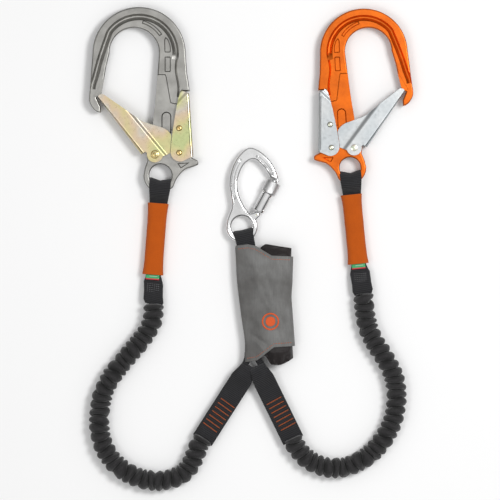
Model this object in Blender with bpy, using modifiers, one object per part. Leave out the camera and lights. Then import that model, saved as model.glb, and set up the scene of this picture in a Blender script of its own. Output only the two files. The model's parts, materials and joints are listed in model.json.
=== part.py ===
"""Twin-leg shock absorbing lanyard, laid flat on a floor.

Frame: metres, +Z up, the floor is z = 0. The origin is the middle of the absorber's flat underside.
+Y runs from the absorber towards the two scaffold hooks, +X to the right hook.
Sizes and places are written in millimetres and turned into metres by MM.
"""

import math

import bmesh
import bpy
from mathutils import Matrix, Vector

MM = 0.001
GAP = 0.3                      # clearance between neighbouring pieces

# ---- driving dimensions -------------------------------------------------------------------
HOOK_THICKNESS = 12.0          # forged body, side to side
EYE_HOLE = 14.5                # radius of the webbing eye
EYE_RING = 22.2                # outer radius of the eye
ARCH = (-27.7, 157.5, 60.3)    # outer circle of the hook's bend: x, y, radius from the eye centre
BEND = (-34.0, 159.0, 32.0)    # inner circle, which bears on the anchor
STEEL = 2.0                    # sheet of the gate and the lever
GATE_OUTER = 8.4               # half width over the gate's cheeks
LEVER_OUTER = 10.6             # half width over the lever's cheeks
GATE_PIVOT = (-7.0, 27.1)
LEVER_PIVOT = (24.2, 60.9)
LEVER_STOP = (24.2, 29.2)
LEVER_TRAVEL = 8.0             # degrees of squeeze
HOOK_HEIGHT = 13.0             # hook centre plane above the floor
LEFT_EYE = (-139.0, 169.2)
RIGHT_EYE = (113.1, 179.2)
RIGHT_TURN = 3.2               # degrees
LEFT_SIZE = 1.028              # each hook's size relative to the dimensions above
RIGHT_SIZE = 0.967

CARABINER_EYE = (-30.7, 101.3)
CARABINER_HEIGHT = 11.0
CARABINER_THICKNESS = 11.0
CARABINER_HOLE = 14.0
CARABINER_RING = 21.4
CARABINER_GATE = (19.4, 15.4)  # hinge of the gate, from the eye centre
GATE_LEAN = 62.1               # direction of the gate's axis, degrees from +X

WEBBING = 2.5                  # thickness of one layer
WEBBING_WIDTH = 29.5
LEG_RADIUS = 13.3
LEG_HEIGHT = 13.8
GRIP_HEIGHT = 10.0
COVER_THICKNESS = 38.0
COVER_WALL = 1.6
POUCH_WALL = 1.2

# ---- free elastic legs: centre line of each, from its end tab to its leg strap --------------
LEFT_LEG = [
    (-148.4, -1.5), (-148.4, -13.0), (-150.4, -26.0), (-156.2, -37.6), (-164.2, -48.8),
    (-173.4, -60.4), (-183.4, -72.2), (-193.2, -84.4), (-203.3, -97.0), (-211.6, -111.4),
    (-216.8, -125.6), (-219.4, -141.0), (-220.6, -156.8), (-219.6, -172.4), (-215.6, -188.0),
    (-208.0, -203.2), (-196.3, -216.6), (-182.3, -226.8), (-167.0, -233.4), (-152.5, -236.4),
    (-138.0, -237.0), (-122.8, -233.8), (-109.2, -227.2), (-99.6, -216.4), (-93.2, -203.6),
    (-88.6, -191.0), (-81.6, -180.0),
]
RIGHT_LEG = [
    (130.6, 12.0), (131.3, 3.0), (132.0, -6.2), (133.4, -16.6), (135.8, -28.0), (139.6, -39.8),
    (145.0, -51.0), (151.6, -61.4), (158.2, -71.6), (164.2, -82.2), (169.4, -93.0), (172.8, -104.0),
    (174.6, -115.0), (175.0, -126.4), (174.2, -138.0), (172.2, -149.4), (168.8, -160.2),
    (163.8, -171.0), (157.6, -181.4), (150.0, -191.0), (140.8, -200.4), (130.2, -208.4),
    (118.3, -214.6), (105.6, -218.8), (93.0, -220.2), (80.6, -218.8), (67.6, -214.4),
    (55.4, -207.0), (46.8, -198.6), (40.8, -190.2), (36.0, -180.0),
]

scene = bpy.context.scene


# ---- helpers --------------------------------------------------------------------------------
def clear_scene():
    for item in list(bpy.data.objects):
        bpy.data.objects.remove(item, do_unlink=True)


def collection(name):
    made = bpy.data.collections.new(name)
    scene.collection.children.link(made)
    return made


def material(name, color, roughness, metallic=0.0):
    made = bpy.data.materials.new(name)
    made.use_nodes = True
    shader = made.node_tree.nodes["Principled BSDF"]
    shader.inputs["Base Color"].default_value = (*color, 1.0)
    shader.inputs["Roughness"].default_value = roughness
    shader.inputs["Metallic"].default_value = metallic
    made.diffuse_color = (*color, 1.0)
    return made


def arc(center, radius, start, end, steps):
    """Points on a circle, both ends included, angles in degrees."""
    turns = [math.radians(start + (end - start) * i / steps) for i in range(steps + 1)]
    return [(center[0] + radius * math.cos(a), center[1] + radius * math.sin(a)) for a in turns]


def fillet(before, corner, after, radius, steps):
    """A corner of an outline turned into a round one."""
    corner = Vector(corner)
    one, two = (Vector(before) - corner).normalized(), (Vector(after) - corner).normalized()
    half = one.angle(two) / 2
    back = radius / math.tan(half)
    middle = corner + (one + two).normalized() * (radius / math.sin(half))
    first, last = corner + one * back - middle, corner + two * back - middle
    sweep = first.angle_signed(last)
    points = [middle + Matrix.Rotation(-sweep * i / steps, 2) @ first for i in range(steps + 1)]
    return [tuple(point) for point in points]


def softened(outline, steps=2):
    """A closed outline whose points may carry a fillet radius as a third value."""
    points = []
    for i, point in enumerate(outline):
        if len(point) == 2:
            points.append(point)
            continue
        before, after = outline[i - 1], outline[(i + 1) % len(outline)]
        points += fillet(before[:2], point[:2], after[:2], point[2], steps)
    return points


def smooth_route(points, spacing):
    """Points at an even spacing on a smooth curve through the route's own points."""
    ends = [2 * Vector(points[0]) - Vector(points[1]), 2 * Vector(points[-1]) - Vector(points[-2])]
    path = [ends[0]] + [Vector(p) for p in points] + [ends[1]]
    dense = []
    for a, b, c, d in zip(path, path[1:], path[2:], path[3:]):
        for i in range(20):
            t = i / 20
            dense.append(0.5 * (2 * b + (c - a) * t + (2 * a - 5 * b + 4 * c - d) * t ** 2
                                + (3 * b - a - 3 * c + d) * t ** 3))
    dense.append(Vector(points[-1]))
    lengths = [0.0]
    for a, b in zip(dense, dense[1:]):
        lengths.append(lengths[-1] + (b - a).length)
    count = round(lengths[-1] / spacing)
    picked, k = [], 0
    for i in range(count + 1):
        while k < len(dense) - 2 and lengths[k + 1] < lengths[-1] * i / count:
            k += 1
        share = (lengths[-1] * i / count - lengths[k]) / (lengths[k + 1] - lengths[k])
        picked.append(dense[k].lerp(dense[k + 1], share))
    return picked


def ease(value):
    value = min(max(value, 0.0), 1.0)
    return (1 - math.cos(math.pi * value)) / 2


def along(table, value):
    """A value read from a short table of (place, value) pairs, straight between them."""
    for (a, low), (b, high) in zip(table, table[1:]):
        if value <= b:
            return low + (high - low) * max(value - a, 0.0) / (b - a)
    return table[-1][1]


def place(made, frame=None, at=(0, 0, 0), turn=0.0):
    made.parent = frame
    made.location = Vector(at) * MM
    made.rotation_euler.z = math.radians(turn)
    return made


def finish(made, look, sharp=30.0):
    made.data.materials.clear()
    made.data.materials.append(look)
    made.data.shade_smooth()
    made.data.set_sharp_from_angle(angle=math.radians(sharp))
    parts.objects.link(made)
    return made


def as_cutter(made, body, operation="DIFFERENCE"):
    """Cut or join the hidden guide piece into body."""
    cutters.objects.link(made)
    made.hide_render = True
    made.display_type = "WIRE"
    joined = body.modifiers.new(made.name, "BOOLEAN")
    joined.object = made
    joined.operation = operation


def bevel(made, width, segments=2, angle=40.0):
    edge = made.modifiers.new("rounded_edges", "BEVEL")
    edge.width = width * MM
    edge.segments = segments
    edge.limit_method = "ANGLE"
    edge.angle_limit = math.radians(angle)


def plate(name, loops, low, high, pivot=(0, 0)):
    """A flat piece between two heights: the first loop is its outline, the others are holes."""
    curve = bpy.data.curves.new(name, "CURVE")
    curve.dimensions = "2D"
    curve.fill_mode = "BOTH"
    curve.extrude = (high - low) / 2 * MM
    for loop in loops:
        spline = curve.splines.new("POLY")
        spline.points.add(len(loop) - 1)
        for point, (x, y) in zip(spline.points, loop):
            point.co = ((x - pivot[0]) * MM, (y - pivot[1]) * MM, 0.0, 1.0)
        spline.use_cyclic_u = True
    guide = bpy.data.objects.new(name + "_outline", curve)
    scene.collection.objects.link(guide)
    seen = guide.evaluated_get(bpy.context.evaluated_depsgraph_get())
    mesh = bpy.data.meshes.new_from_object(seen)
    bpy.data.objects.remove(guide)
    shape = bmesh.new()
    shape.from_mesh(mesh)
    bmesh.ops.remove_doubles(shape, verts=shape.verts, dist=1e-6)
    bmesh.ops.translate(shape, verts=shape.verts, vec=(0, 0, (high + low) / 2 * MM))
    bmesh.ops.dissolve_limit(shape, angle_limit=0.001, verts=shape.verts, edges=shape.edges)
    bmesh.ops.recalc_face_normals(shape, faces=shape.faces)
    shape.to_mesh(mesh)
    shape.free()
    mesh.name = name
    return bpy.data.objects.new(name, mesh)


def turned(name, profile, closed=False, steps=20):
    """A piece turned about its own Z from (radius, height) points, outer side top to bottom."""
    mesh = bpy.data.meshes.new(name)
    edges = [(i, i + 1) for i in range(len(profile) - 1)]
    if closed:
        edges.append((len(profile) - 1, 0))
    mesh.from_pydata([(r * MM, 0.0, z * MM) for r, z in profile], edges, [])
    made = bpy.data.objects.new(name, mesh)
    screw = made.modifiers.new("turned", "SCREW")
    screw.steps = screw.render_steps = steps
    screw.use_merge_vertices = True
    screw.merge_threshold = 1e-6
    return made


def tube(name, points, radius, resolution=2):
    """A round wire or cord through points in millimetres, with closed ends."""
    curve = bpy.data.curves.new(name, "CURVE")
    curve.dimensions = "3D"
    curve.bevel_depth = radius * MM
    curve.bevel_resolution = resolution
    curve.use_fill_caps = True
    spline = curve.splines.new("POLY")
    spline.points.add(len(points) - 1)
    for point, place_mm in zip(spline.points, points):
        point.co = (*(Vector(place_mm) * MM), 1.0)
    return bpy.data.objects.new(name, curve)


def grid_mesh(name, rows, ring):
    """A surface through rows of points; a ring closes each row on itself."""
    width = len(rows[0])
    faces = []
    for i in range(len(rows) - 1):
        for j in range(width if ring else width - 1):
            k = (j + 1) % width
            faces.append((i * width + j, i * width + k, (i + 1) * width + k, (i + 1) * width + j))
    mesh = bpy.data.meshes.new(name)
    mesh.from_pydata([tuple(Vector(p) * MM) for row in rows for p in row], [], faces)
    return bpy.data.objects.new(name, mesh)


def solidify(made, thickness, offset):
    skin = made.modifiers.new("thickness", "SOLIDIFY")
    skin.thickness = thickness * MM
    skin.offset = offset
    skin.use_even_offset = True


def ribbon(name, stations, thickness):
    """Webbing: stations are (centre, direction across, width)."""
    rows = []
    for center, across, width in stations:
        side = Vector(across).normalized() * (width / 2)
        rows.append([Vector(center) - side, Vector(center) + side])
    made = grid_mesh(name, rows, ring=False)
    solidify(made, thickness, 0.0)
    return made


def sewn_loop(name, tail, tip, heights, spread, widths, open_length, ramp):
    """One webbing strap folded round a bar and sewn back on itself.

    tail and tip are (x, y), heights their middles above the floor, spread the loop's half height,
    widths the strap at tail and tip, open_length how far the loop stays open, ramp how it closes.
    """
    tail, tip = Vector(tail), Vector(tip)
    run = (tip - tail).length
    forward = (tip - tail) / run
    across = Vector((forward.y, -forward.x, 0.0))
    layer = (WEBBING + GAP) / 2

    def station(s, side):
        share = ease((s - (run - open_length - ramp)) / ramp)
        middle = heights[0] + (heights[1] - heights[0]) * share
        half = layer + (spread - layer) * share
        width = widths[0] + (widths[1] - widths[0]) * share
        spot = tail + forward * s
        return (spot.x, spot.y, middle + side * half), across, width

    straight = run - spread
    places = [straight * i / 14 for i in range(15)]
    stations = [station(s, -1) for s in places]
    for degrees in (-60, -30, 0, 30, 60):
        a = math.radians(degrees)
        spot = tail + forward * (straight + spread * math.cos(a))
        stations.append(((spot.x, spot.y, heights[1] + spread * math.sin(a)), across, widths[1]))
    stations += [station(s, 1) for s in reversed(places)]
    return ribbon(name, stations, WEBBING)


def round_section(left, right, low, high, radius, flats=5, turns=3):
    """Rounded rectangle as (share of the width, x, z) points, counter-clockwise seen from -Y."""
    corners = [
        ((right - radius, low + radius), -90), ((right - radius, high - radius), 0),
        ((left + radius, high - radius), 90), ((left + radius, low + radius), 180),
    ]
    points = []
    for number, (center, start) in enumerate(corners):
        points += arc(center, radius, start, start + 90, turns)
        if number in (1, 3):
            a = points[-1]
            b = (left + radius, high) if number == 1 else (right - radius, low)
            points += [(a[0] + (b[0] - a[0]) * i / flats, a[1]) for i in range(1, flats)]
    return [((x - left) / (right - left), x, z) for x, z in points]


def helix(radius, pitch, turns, start_turn=0.0, steps=10):
    count = round(turns * steps)
    points = []
    for i in range(count + 1):
        a = 2 * math.pi * (start_turn + i / steps)
        points.append((radius * math.cos(a), radius * math.sin(a), pitch * (i / steps - turns / 2)))
    return points


# ---- looks ----------------------------------------------------------------------------------
clear_scene()
parts = collection("shock_absorbing_lanyard")
cutters = collection("cutters")

GREY_ALLOY = material("grey_alloy", (0.30, 0.30, 0.29), 0.35, 1.0)
ORANGE_ALLOY = material("orange_alloy", (0.75, 0.15, 0.01), 0.35, 0.6)
YELLOW_ZINC = material("yellow_zinc", (0.62, 0.52, 0.25), 0.30, 1.0)
SILVER_ZINC = material("silver_zinc", (0.62, 0.66, 0.67), 0.30, 1.0)
POLISHED = material("polished_alloy", (0.80, 0.80, 0.80), 0.15, 1.0)
RIVET_STEEL = material("rivet_steel", (0.55, 0.47, 0.35), 0.30, 1.0)
SPRING_STEEL = material("spring_steel", (0.30, 0.30, 0.32), 0.30, 1.0)
BLACK_WEBBING = material("black_webbing", (0.012, 0.012, 0.013), 0.85)
ORANGE_FOAM = material("orange_foam", (0.55, 0.12, 0.02), 0.90)
GREEN_LABEL = material("green_label", (0.02, 0.35, 0.10), 0.60)
GREY_FABRIC = material("grey_fabric", (0.16, 0.15, 0.14), 0.90)
DARK_FABRIC = material("dark_fabric", (0.03, 0.02, 0.02), 0.85)
TEAR_WEBBING = material("tear_webbing", (0.45, 0.44, 0.40), 0.85)
ORANGE_PRINT = material("orange_print", (0.85, 0.16, 0.01), 0.60)


# ---- scaffold hook --------------------------------------------------------------------------
def hook_outline():
    """Forged body: round the bend, down the nose, back inside, the eye and the tail."""
    arch, bend = ARCH[:2], BEND[:2]
    points = arc(arch, ARCH[2], 0, 180, 20)
    points += [(-91.0, 117.0), (-92.5, 100.6), (-91.3, 92.8), (-86.0, 85.0), (-80.9, 81.4),
               (-77.4, 81.2), (-77.6, 89.1), (-82.9, 100.0)]
    points += arc(GATE_PIVOT, 105.4, 134.8, 131.2, 2)
    points += [(-73.1, 123.9), (-70.5, 139.5)]
    points += arc(bend, BEND[2], 182, -2, 15)
    points += [(-4.4, 123.9), (-7.0, 92.8), (-9.6, 69.5), (-11.7, 39.0), (-18.4, 28.7),
               (-17.0, 18.8), (-20.3, 9.8)]
    points += arc((0, 0), EYE_RING, 180, 318, 10)
    points += [(21.3, -4.0), (31.2, 6.9), (44.0, 11.8), (48.2, 14.8), (47.6, 18.4), (40.9, 22.6),
               (38.2, 28.0), (37.2, 40.0), (35.6, 56.0), (27.9, 72.0), (27.7, 108.9),
               (37.9, 108.9), (37.0, 116.2), (34.5, 131.7)]
    return points


def stop_slot():
    """Slot in the body that the lever's stop pin travels in."""
    reach = math.dist(LEVER_PIVOT, LEVER_STOP)
    return (arc(arc(LEVER_PIVOT, reach, -90 + LEVER_TRAVEL, 0, 1)[0], 2.6, -90, 90, 6)
            + arc(LEVER_STOP, 2.6, 90, 270, 6))


def build_hook_body(side, frame, look):
    loops = [hook_outline(), arc((0, 0), EYE_HOLE, 0, 342, 19), arc(GATE_PIVOT, 3.3, 0, 324, 9),
             arc(LEVER_PIVOT, 2.6, 0, 330, 11), stop_slot()]
    half = HOOK_THICKNESS / 2
    body = place(plate(side + "_hook_body", loops, -half, half), frame)
    finish(body, look)
    bevel(body, 1.6, segments=1)

    recesses = {
        "bend_groove": arc(ARCH[:2], 50.0, -3, 172, 14) + arc(ARCH[:2], 43.5, 172, -3, 14),
        "upper_pocket": softened([(6, 154, 2), (13, 155, 2), (13.5, 175, 2), (9, 178, 2)]),
        "lower_pocket": softened([(4, 133, 2), (14, 134, 2), (14, 150, 2), (5, 149, 2)]),
        "long_slot": softened([(1, 66, 3), (14, 66, 3), (14, 86, 5), (2, 86, 5)]),
    }
    for name, outline in recesses.items():
        for sign in (1, -1):
            low, high = sorted((sign * (half - 2.5), sign * (half + 3)))
            cutter = plate(f"{side}_{name}_{'front' if sign > 0 else 'back'}", [outline], low, high)
            as_cutter(place(cutter, frame), body)

    slots = {
        "gate_spring_slot": (GATE_PIVOT, 6.2, 3.3, 134.0, 26.0),
        "lever_spring_slot": (LEVER_PIVOT, 5.4, 3.0, 35.0, 20.0),
    }
    for name, (pivot, radius, half_height, heading, length) in slots.items():
        end = arc(pivot, length, heading, 0, 1)[0]
        outline = arc(pivot, radius, heading + 90, heading + 270, 10)
        outline += arc(end, radius, heading - 90, heading + 90, 1)
        cutter = plate(f"{side}_{name}", [outline], -half_height, half_height)
        as_cutter(place(cutter, frame), body)


def channel(name, outline, keep_from, holes, outer, pivot, frame, look):
    """Folded sheet: two cheeks joined by a web on the far side of the keep_from line."""
    inner = outer - STEEL
    made = plate(name, [outline] + holes, -outer, outer, pivot)
    place(made, frame, (*pivot, 0))
    finish(made, look)
    hollow = plate(name + "_hollow", [keep_from], -inner, inner)
    as_cutter(place(hollow, frame), made)
    return made


def build_gate(side, frame, look):
    web_top, web_end = Vector((-80.9, 100.6)), Vector((-24.9, 27.2))
    outline = [tuple(web_top), (-79.4, 104.2), (-74.8, 105.5), (-48.1, 87.2), (-23.3, 69.9),
               (-9.4, 65.3), (3.0, 61.6), (9.6, 57.8), (13.3, 53.6), (14.4, 50.5), (12.4, 28.7)]
    outline += arc(GATE_PIVOT, 10.4, -15, -190, 12) + [(-19.3, 30.6), tuple(web_end)]
    inward = Vector((web_end.y - web_top.y, web_top.x - web_end.x)).normalized() * -STEEL
    direction = (web_end - web_top).normalized() * 30
    hollow = [tuple(web_top + inward - direction), tuple(web_end + inward + direction),
              (60, 0), (60, 140), (-60, 140)]
    holes = [arc(GATE_PIVOT, 3.3, 0, 330, 11)]
    channel(side + "_gate", outline, hollow, holes, GATE_OUTER, GATE_PIVOT, frame, look)


def build_lever(side, frame, look):
    outline = [(26.6, 110.0), (21.8, 93.2), (16.3, 60.4), (13.3, 34.6)]
    outline += arc((25.6, 30.2), 12.4, 180, 285, 8)
    outline += [(42.5, 24.8), (37.2, 105.8)]
    hollow = [(35.1, 104.1 + 20), (41.3, 10.0), (0, 10), (0, 124)]
    holes = [arc(LEVER_PIVOT, 2.6, 0, 330, 11), arc(LEVER_STOP, 2.6, 0, 330, 11)]
    channel(side + "_lock_lever", outline, hollow, holes, LEVER_OUTER, LEVER_PIVOT, frame, look)


def build_rivet(name, pivot, radius, head, cheek, tall, frame, look):
    """Peened tail on the upper side, domed head on the lower side."""
    seat = cheek + GAP
    top = [(0, seat + tall), (head * 0.45, seat + tall), (head * 0.6, seat + tall * 0.7),
           (head * 0.9, seat + tall * 0.7), (head, seat)]
    dome = [(head, -seat), (head * 0.93, -seat - tall * 0.45), (head * 0.7, -seat - tall * 0.8),
            (head * 0.35, -seat - tall), (0, -seat - tall)]
    rivet = turned(name, top + [(radius, seat), (radius, -seat)] + dome, steps=12)
    place(rivet, frame, (*pivot, 0))
    finish(rivet, look)


def build_torsion_spring(name, pivot, radius, wire, heading, reach, frame):
    """Coil round the rivet; one leg runs out along the sheet, the other rests in the body."""
    pitch = wire * 2 + 0.25
    coil = helix(radius, pitch, 3.0, start_turn=(heading - 90) / 360, steps=8)
    first, last = Vector(coil[0]), Vector(coil[-1])
    away = Vector((math.cos(math.radians(heading)), math.sin(math.radians(heading)), 0))
    points = [first + away * 4.5] + [Vector(p) for p in coil] + [last + away * reach]
    spring = tube(name, points, wire, resolution=1)
    place(spring, frame, (*pivot, 0))
    spring.data.materials.append(SPRING_STEEL)
    parts.objects.link(spring)


def build_hook(side, eye, turn, size, flipped, body_look, sheet_look, rivet_look):
    frame = bpy.data.objects.new(side + "_hook_frame", None)
    parts.objects.link(frame)
    frame.location = Vector((*eye, HOOK_HEIGHT)) * MM
    frame.rotation_euler = (0, math.pi if flipped else 0, math.radians(turn))
    frame.scale = (size, size, size)
    bpy.context.view_layer.update()
    build_hook_body(side, frame, body_look)
    build_gate(side, frame, sheet_look)
    build_lever(side, frame, sheet_look)
    build_rivet(side + "_gate_rivet", GATE_PIVOT, 3.0, 6.6, GATE_OUTER, 2.7, frame, rivet_look)
    build_rivet(side + "_lever_rivet", LEVER_PIVOT, 2.3, 3.8, LEVER_OUTER, 1.5, frame, rivet_look)
    build_rivet(side + "_lever_stop_pin", LEVER_STOP, 2.3, 3.8, LEVER_OUTER, 1.5, frame, rivet_look)
    build_torsion_spring(side + "_gate_spring", GATE_PIVOT, 4.6, 0.7, 134, 34, frame)
    build_torsion_spring(side + "_lever_spring", LEVER_PIVOT, 3.9, 0.6, 70, 22, frame)


# ---- captive-eye carabiner ------------------------------------------------------------------
def carabiner_outline():
    outer = arc((0, 0), CARABINER_RING, 25, -172, 16)
    outer += [(-20.8, 5.0), (-18.4, 12.7), (-14.8, 20.7), (-13.4, 28.7), (-14.4, 36.7), (-16.2, 46.0),
              (-17.2, 56.0), (-16.8, 64.0), (-15.2, 72.0), (-12.6, 80.0), (-8.6, 88.5), (-3.0, 96.5),
              (3.0, 102.4), (9.5, 105.4), (17.0, 104.6), (25.0, 100.0), (32.8, 92.8), (39.6, 84.8),
              (44.6, 76.4), (48.2, 68.0), (50.4, 60.4)]
    lean = Vector((math.cos(math.radians(GATE_LEAN)), math.sin(math.radians(GATE_LEAN))))
    across = Vector((lean.y, -lean.x))
    hinge = Vector(CARABINER_GATE)
    nose = [tuple(hinge + lean * 53.0 + across * offset) for offset in (5.6, -7.2)]
    inner = [(29.9, 77.9), (23.6, 84.2), (18.0, 88.6), (12.0, 88.6), (6.0, 85.0), (1.6, 80.0),
             (-2.4, 72.0), (-5.2, 62.0), (-5.6, 52.0), (-3.6, 42.0), (0.6, 31.6), (6.0, 22.6)]
    lug = [(11.0, 17.6), (14.0, 18.4)] + arc(CARABINER_GATE, 5.0, 135, -30, 8)
    return outer + nose + inner + lug


def build_carabiner():
    frame = bpy.data.objects.new("carabiner_frame", None)
    parts.objects.link(frame)
    frame.location = Vector((*CARABINER_EYE, CARABINER_HEIGHT)) * MM
    half = CARABINER_THICKNESS / 2
    loops = [carabiner_outline(), arc((0, 0), CARABINER_HOLE, 0, 342, 19),
             arc(CARABINER_GATE, 1.9, 0, 315, 7)]
    body = place(plate("carabiner_body", loops, -half, half), frame)
    finish(body, POLISHED)
    bevel(body, 2.2, segments=1)
    slot = plate("carabiner_lug_slot", [arc(CARABINER_GATE, 7.0, 0, 345, 23)], -3.0, 3.0)
    as_cutter(place(slot, frame), body)

    pin = turned("carabiner_gate_pin", [(0, half), (1.6, half), (1.6, -half), (0, -half)], steps=12)
    finish(place(pin, frame, (*CARABINER_GATE, 0)), RIVET_STEEL)

    # the gate and what turns round it: their own Z runs along the gate, from the hinge to the nose
    gate_frame = bpy.data.objects.new("carabiner_gate_frame", None)
    parts.objects.link(gate_frame)
    gate_frame.parent = frame
    gate_frame.location = Vector((*CARABINER_GATE, 0)) * MM
    gate_frame.rotation_euler = (math.pi / 2, 0, math.radians(GATE_LEAN + 90))
    bpy.context.view_layer.update()

    tube_radius = 5.0
    gate = turned("carabiner_gate", [(0, 51.8), (4.4, 51.8), (tube_radius, 51.0), (tube_radius, 6.5),
                                     (4.4, 6.0), (1.7, 6.0), (1.7, 9.0), (3.0, 9.0), (3.0, 34.0),
                                     (0, 34.0)])
    finish(place(gate, gate_frame), POLISHED)
    tongue_outline = arc((0, 0), 4.4, 180, 360, 10) + [(4.4, 7.5), (-4.4, 7.5)]
    tongue = plate("carabiner_gate_tongue", [tongue_outline], -2.7, 2.7)
    tongue.rotation_euler.x = math.pi / 2
    tongue.parent = gate_frame
    as_cutter(tongue, gate, "UNION")
    pin_hole = plate("carabiner_gate_pin_hole", [arc((0, 0), 1.9, 0, 330, 11)], -8, 8)
    pin_hole.rotation_euler.x = math.pi / 2
    pin_hole.parent = gate_frame
    as_cutter(pin_hole, gate)
    bore = turned("carabiner_gate_bore", [(0, 12), (1.7, 12), (1.7, 0.5), (0, 0.5)], steps=12)
    bore.parent = gate_frame
    as_cutter(bore, gate)
    nose_slot = plate("carabiner_nose_slot", [[(-1.8, 46), (1.8, 46), (1.8, 60), (-1.8, 60)]], -8, 8)
    nose_slot.parent = gate_frame
    nose_slot.rotation_euler = (math.pi / 2, 0, math.pi / 2)
    as_cutter(nose_slot, gate)

    plunger = turned("carabiner_gate_plunger", [(0, 11.4), (2.6, 11.4), (2.6, 9.5), (1.3, 9.4),
                                                (1.3, 2.4), (0, 2.1)], steps=12)
    finish(place(plunger, gate_frame), SPRING_STEEL)
    spring = tube("carabiner_gate_spring", [(x, y, z + 22.7) for x, y, z in
                                            helix(2.2, 3.0, 7.0, steps=8)], 0.35, resolution=1)
    place(spring, gate_frame)
    spring.data.materials.append(SPRING_STEEL)
    parts.objects.link(spring)

    inner = tube_radius + GAP
    barrel = turned("carabiner_sleeve_barrel", [(7.9, 32.0), (7.9, 5.6), (7.3, 5.2), (inner, 5.2),
                                                (inner, 32.0)], closed=True, steps=24)
    finish(place(barrel, gate_frame), POLISHED)
    for angle in (35, 215):
        window = plate(f"carabiner_barrel_slot_{angle}", [softened([
            (-1.6, 9, 1.5), (1.6, 9, 1.5), (1.6, 29, 1.5), (-1.6, 29, 1.5)])], 6.6, 9.0)
        window.parent = gate_frame
        window.rotation_euler = (math.pi / 2, 0, math.radians(angle))
        as_cutter(window, barrel)
    collar = turned("carabiner_lock_collar", [
        (9.3, 49.6), (9.9, 49.0), (9.9, 33.0), (9.2, 32.3), (inner, 32.3), (inner, 34.5), (7.2, 34.5),
        (7.2, 46.0), (inner, 46.0), (inner, 49.6)], closed=True, steps=22)
    finish(place(collar, gate_frame), POLISHED)
    sleeve_spring = tube("carabiner_sleeve_spring", [(x, y, z + 40.2) for x, y, z in
                                                     helix(6.25, 2.2, 4.0)], 0.45, resolution=1)
    place(sleeve_spring, gate_frame)
    sleeve_spring.data.materials.append(SPRING_STEEL)
    parts.objects.link(sleeve_spring)


# ---- absorber -------------------------------------------------------------------------------
def sleeve_bag(name, left, right, top, bottom, low, high, mouths, corner, wall, look):
    """A cloth sleeve lying on its flat side, open at both ends, which may be pinched.

    left and right are x along the length (0 to 1), top and bottom are y across the width (0 to 1),
    mouths are the (low, high) heights of the two open ends.
    """
    rows = []
    stations = 12
    for i in range(stations):
        v = i / (stations - 1)
        pinch_top, pinch_bottom = ease(1 - v / 0.10), ease(1 - (1 - v) / 0.10)
        z_low = low + (mouths[0][0] - low) * pinch_top + (mouths[1][0] - low) * pinch_bottom
        z_high = high + (mouths[0][1] - high) * pinch_top + (mouths[1][1] - high) * pinch_bottom
        radius = min(corner, (z_high - z_low) * 0.38)
        row = []
        for share, x, z in round_section(along(left, v), along(right, v), z_low, z_high, radius):
            y = along(top, share) + (along(bottom, share) - along(top, share)) * v
            row.append((x, y, z))
        rows.append(row)
    bag = grid_mesh(name, rows, ring=True)
    solidify(bag, wall, -1.0)
    return finish(bag, look, sharp=50)


def build_absorber():
    full = (0.0, COVER_THICKNESS)
    sleeve_bag(
        "absorber_cover",
        left=[(0, -39.7), (0.3, -37.6), (0.62, -31.5), (0.82, -26.6), (1, -27.2)],
        right=[(0, 37.6), (0.3, 36.6), (0.45, 35.2), (0.65, 37.0), (1, 40.0)],
        top=[(0, 75.2), (0.21, 77.2), (0.34, 75.3), (0.63, 62.1), (1, 60.9)],
        bottom=[(0, -78.9), (0.24, -76.0), (0.58, -58.7), (1, -56.9)],
        low=full[0], high=full[1], mouths=(full, full), corner=10.0, wall=COVER_WALL, look=GREY_FABRIC)
    inset = COVER_WALL + 0.8
    sleeve_bag(
        "inner_pouch",
        left=[(0, -36.6), (0.3, -34.4), (0.62, -28.4), (0.82, -23.6), (1, -23.8)],
        right=[(0, 35.2), (0.3, 34.0), (0.45, 32.6), (0.65, 34.4), (1, 37.6)],
        top=[(0, 62.0), (0.28, 63.0), (0.50, 77.4), (1, 72.3)],
        bottom=[(0, -66.0), (0.40, -69.5), (0.50, -81.4), (0.74, -82.4), (0.93, -77.0), (1, -73.0)],
        low=inset, high=COVER_THICKNESS - inset, mouths=((13.0, 25.0), (5.6, 23.0)), corner=9.0,
        wall=POUCH_WALL,
        look=DARK_FABRIC)

    pack_outline = [(-22, 52, 4), (26, 52, 4), (28, -56, 4), (-14, -56, 4)]
    pack = plate("tear_webbing_pack", [softened(pack_outline[::-1])], 8.0, 29.0)
    finish(pack, TEAR_WEBBING)
    bevel(pack, 4.0)

    badge = turned("badge", [(0, 0.9), (11.0, 0.9), (11.5, 0.5), (11.5, 0), (0, 0)], steps=24)
    place(badge, None, (7.1, -24.8, COVER_THICKNESS + GAP))
    finish(badge, ORANGE_PRINT)


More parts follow.
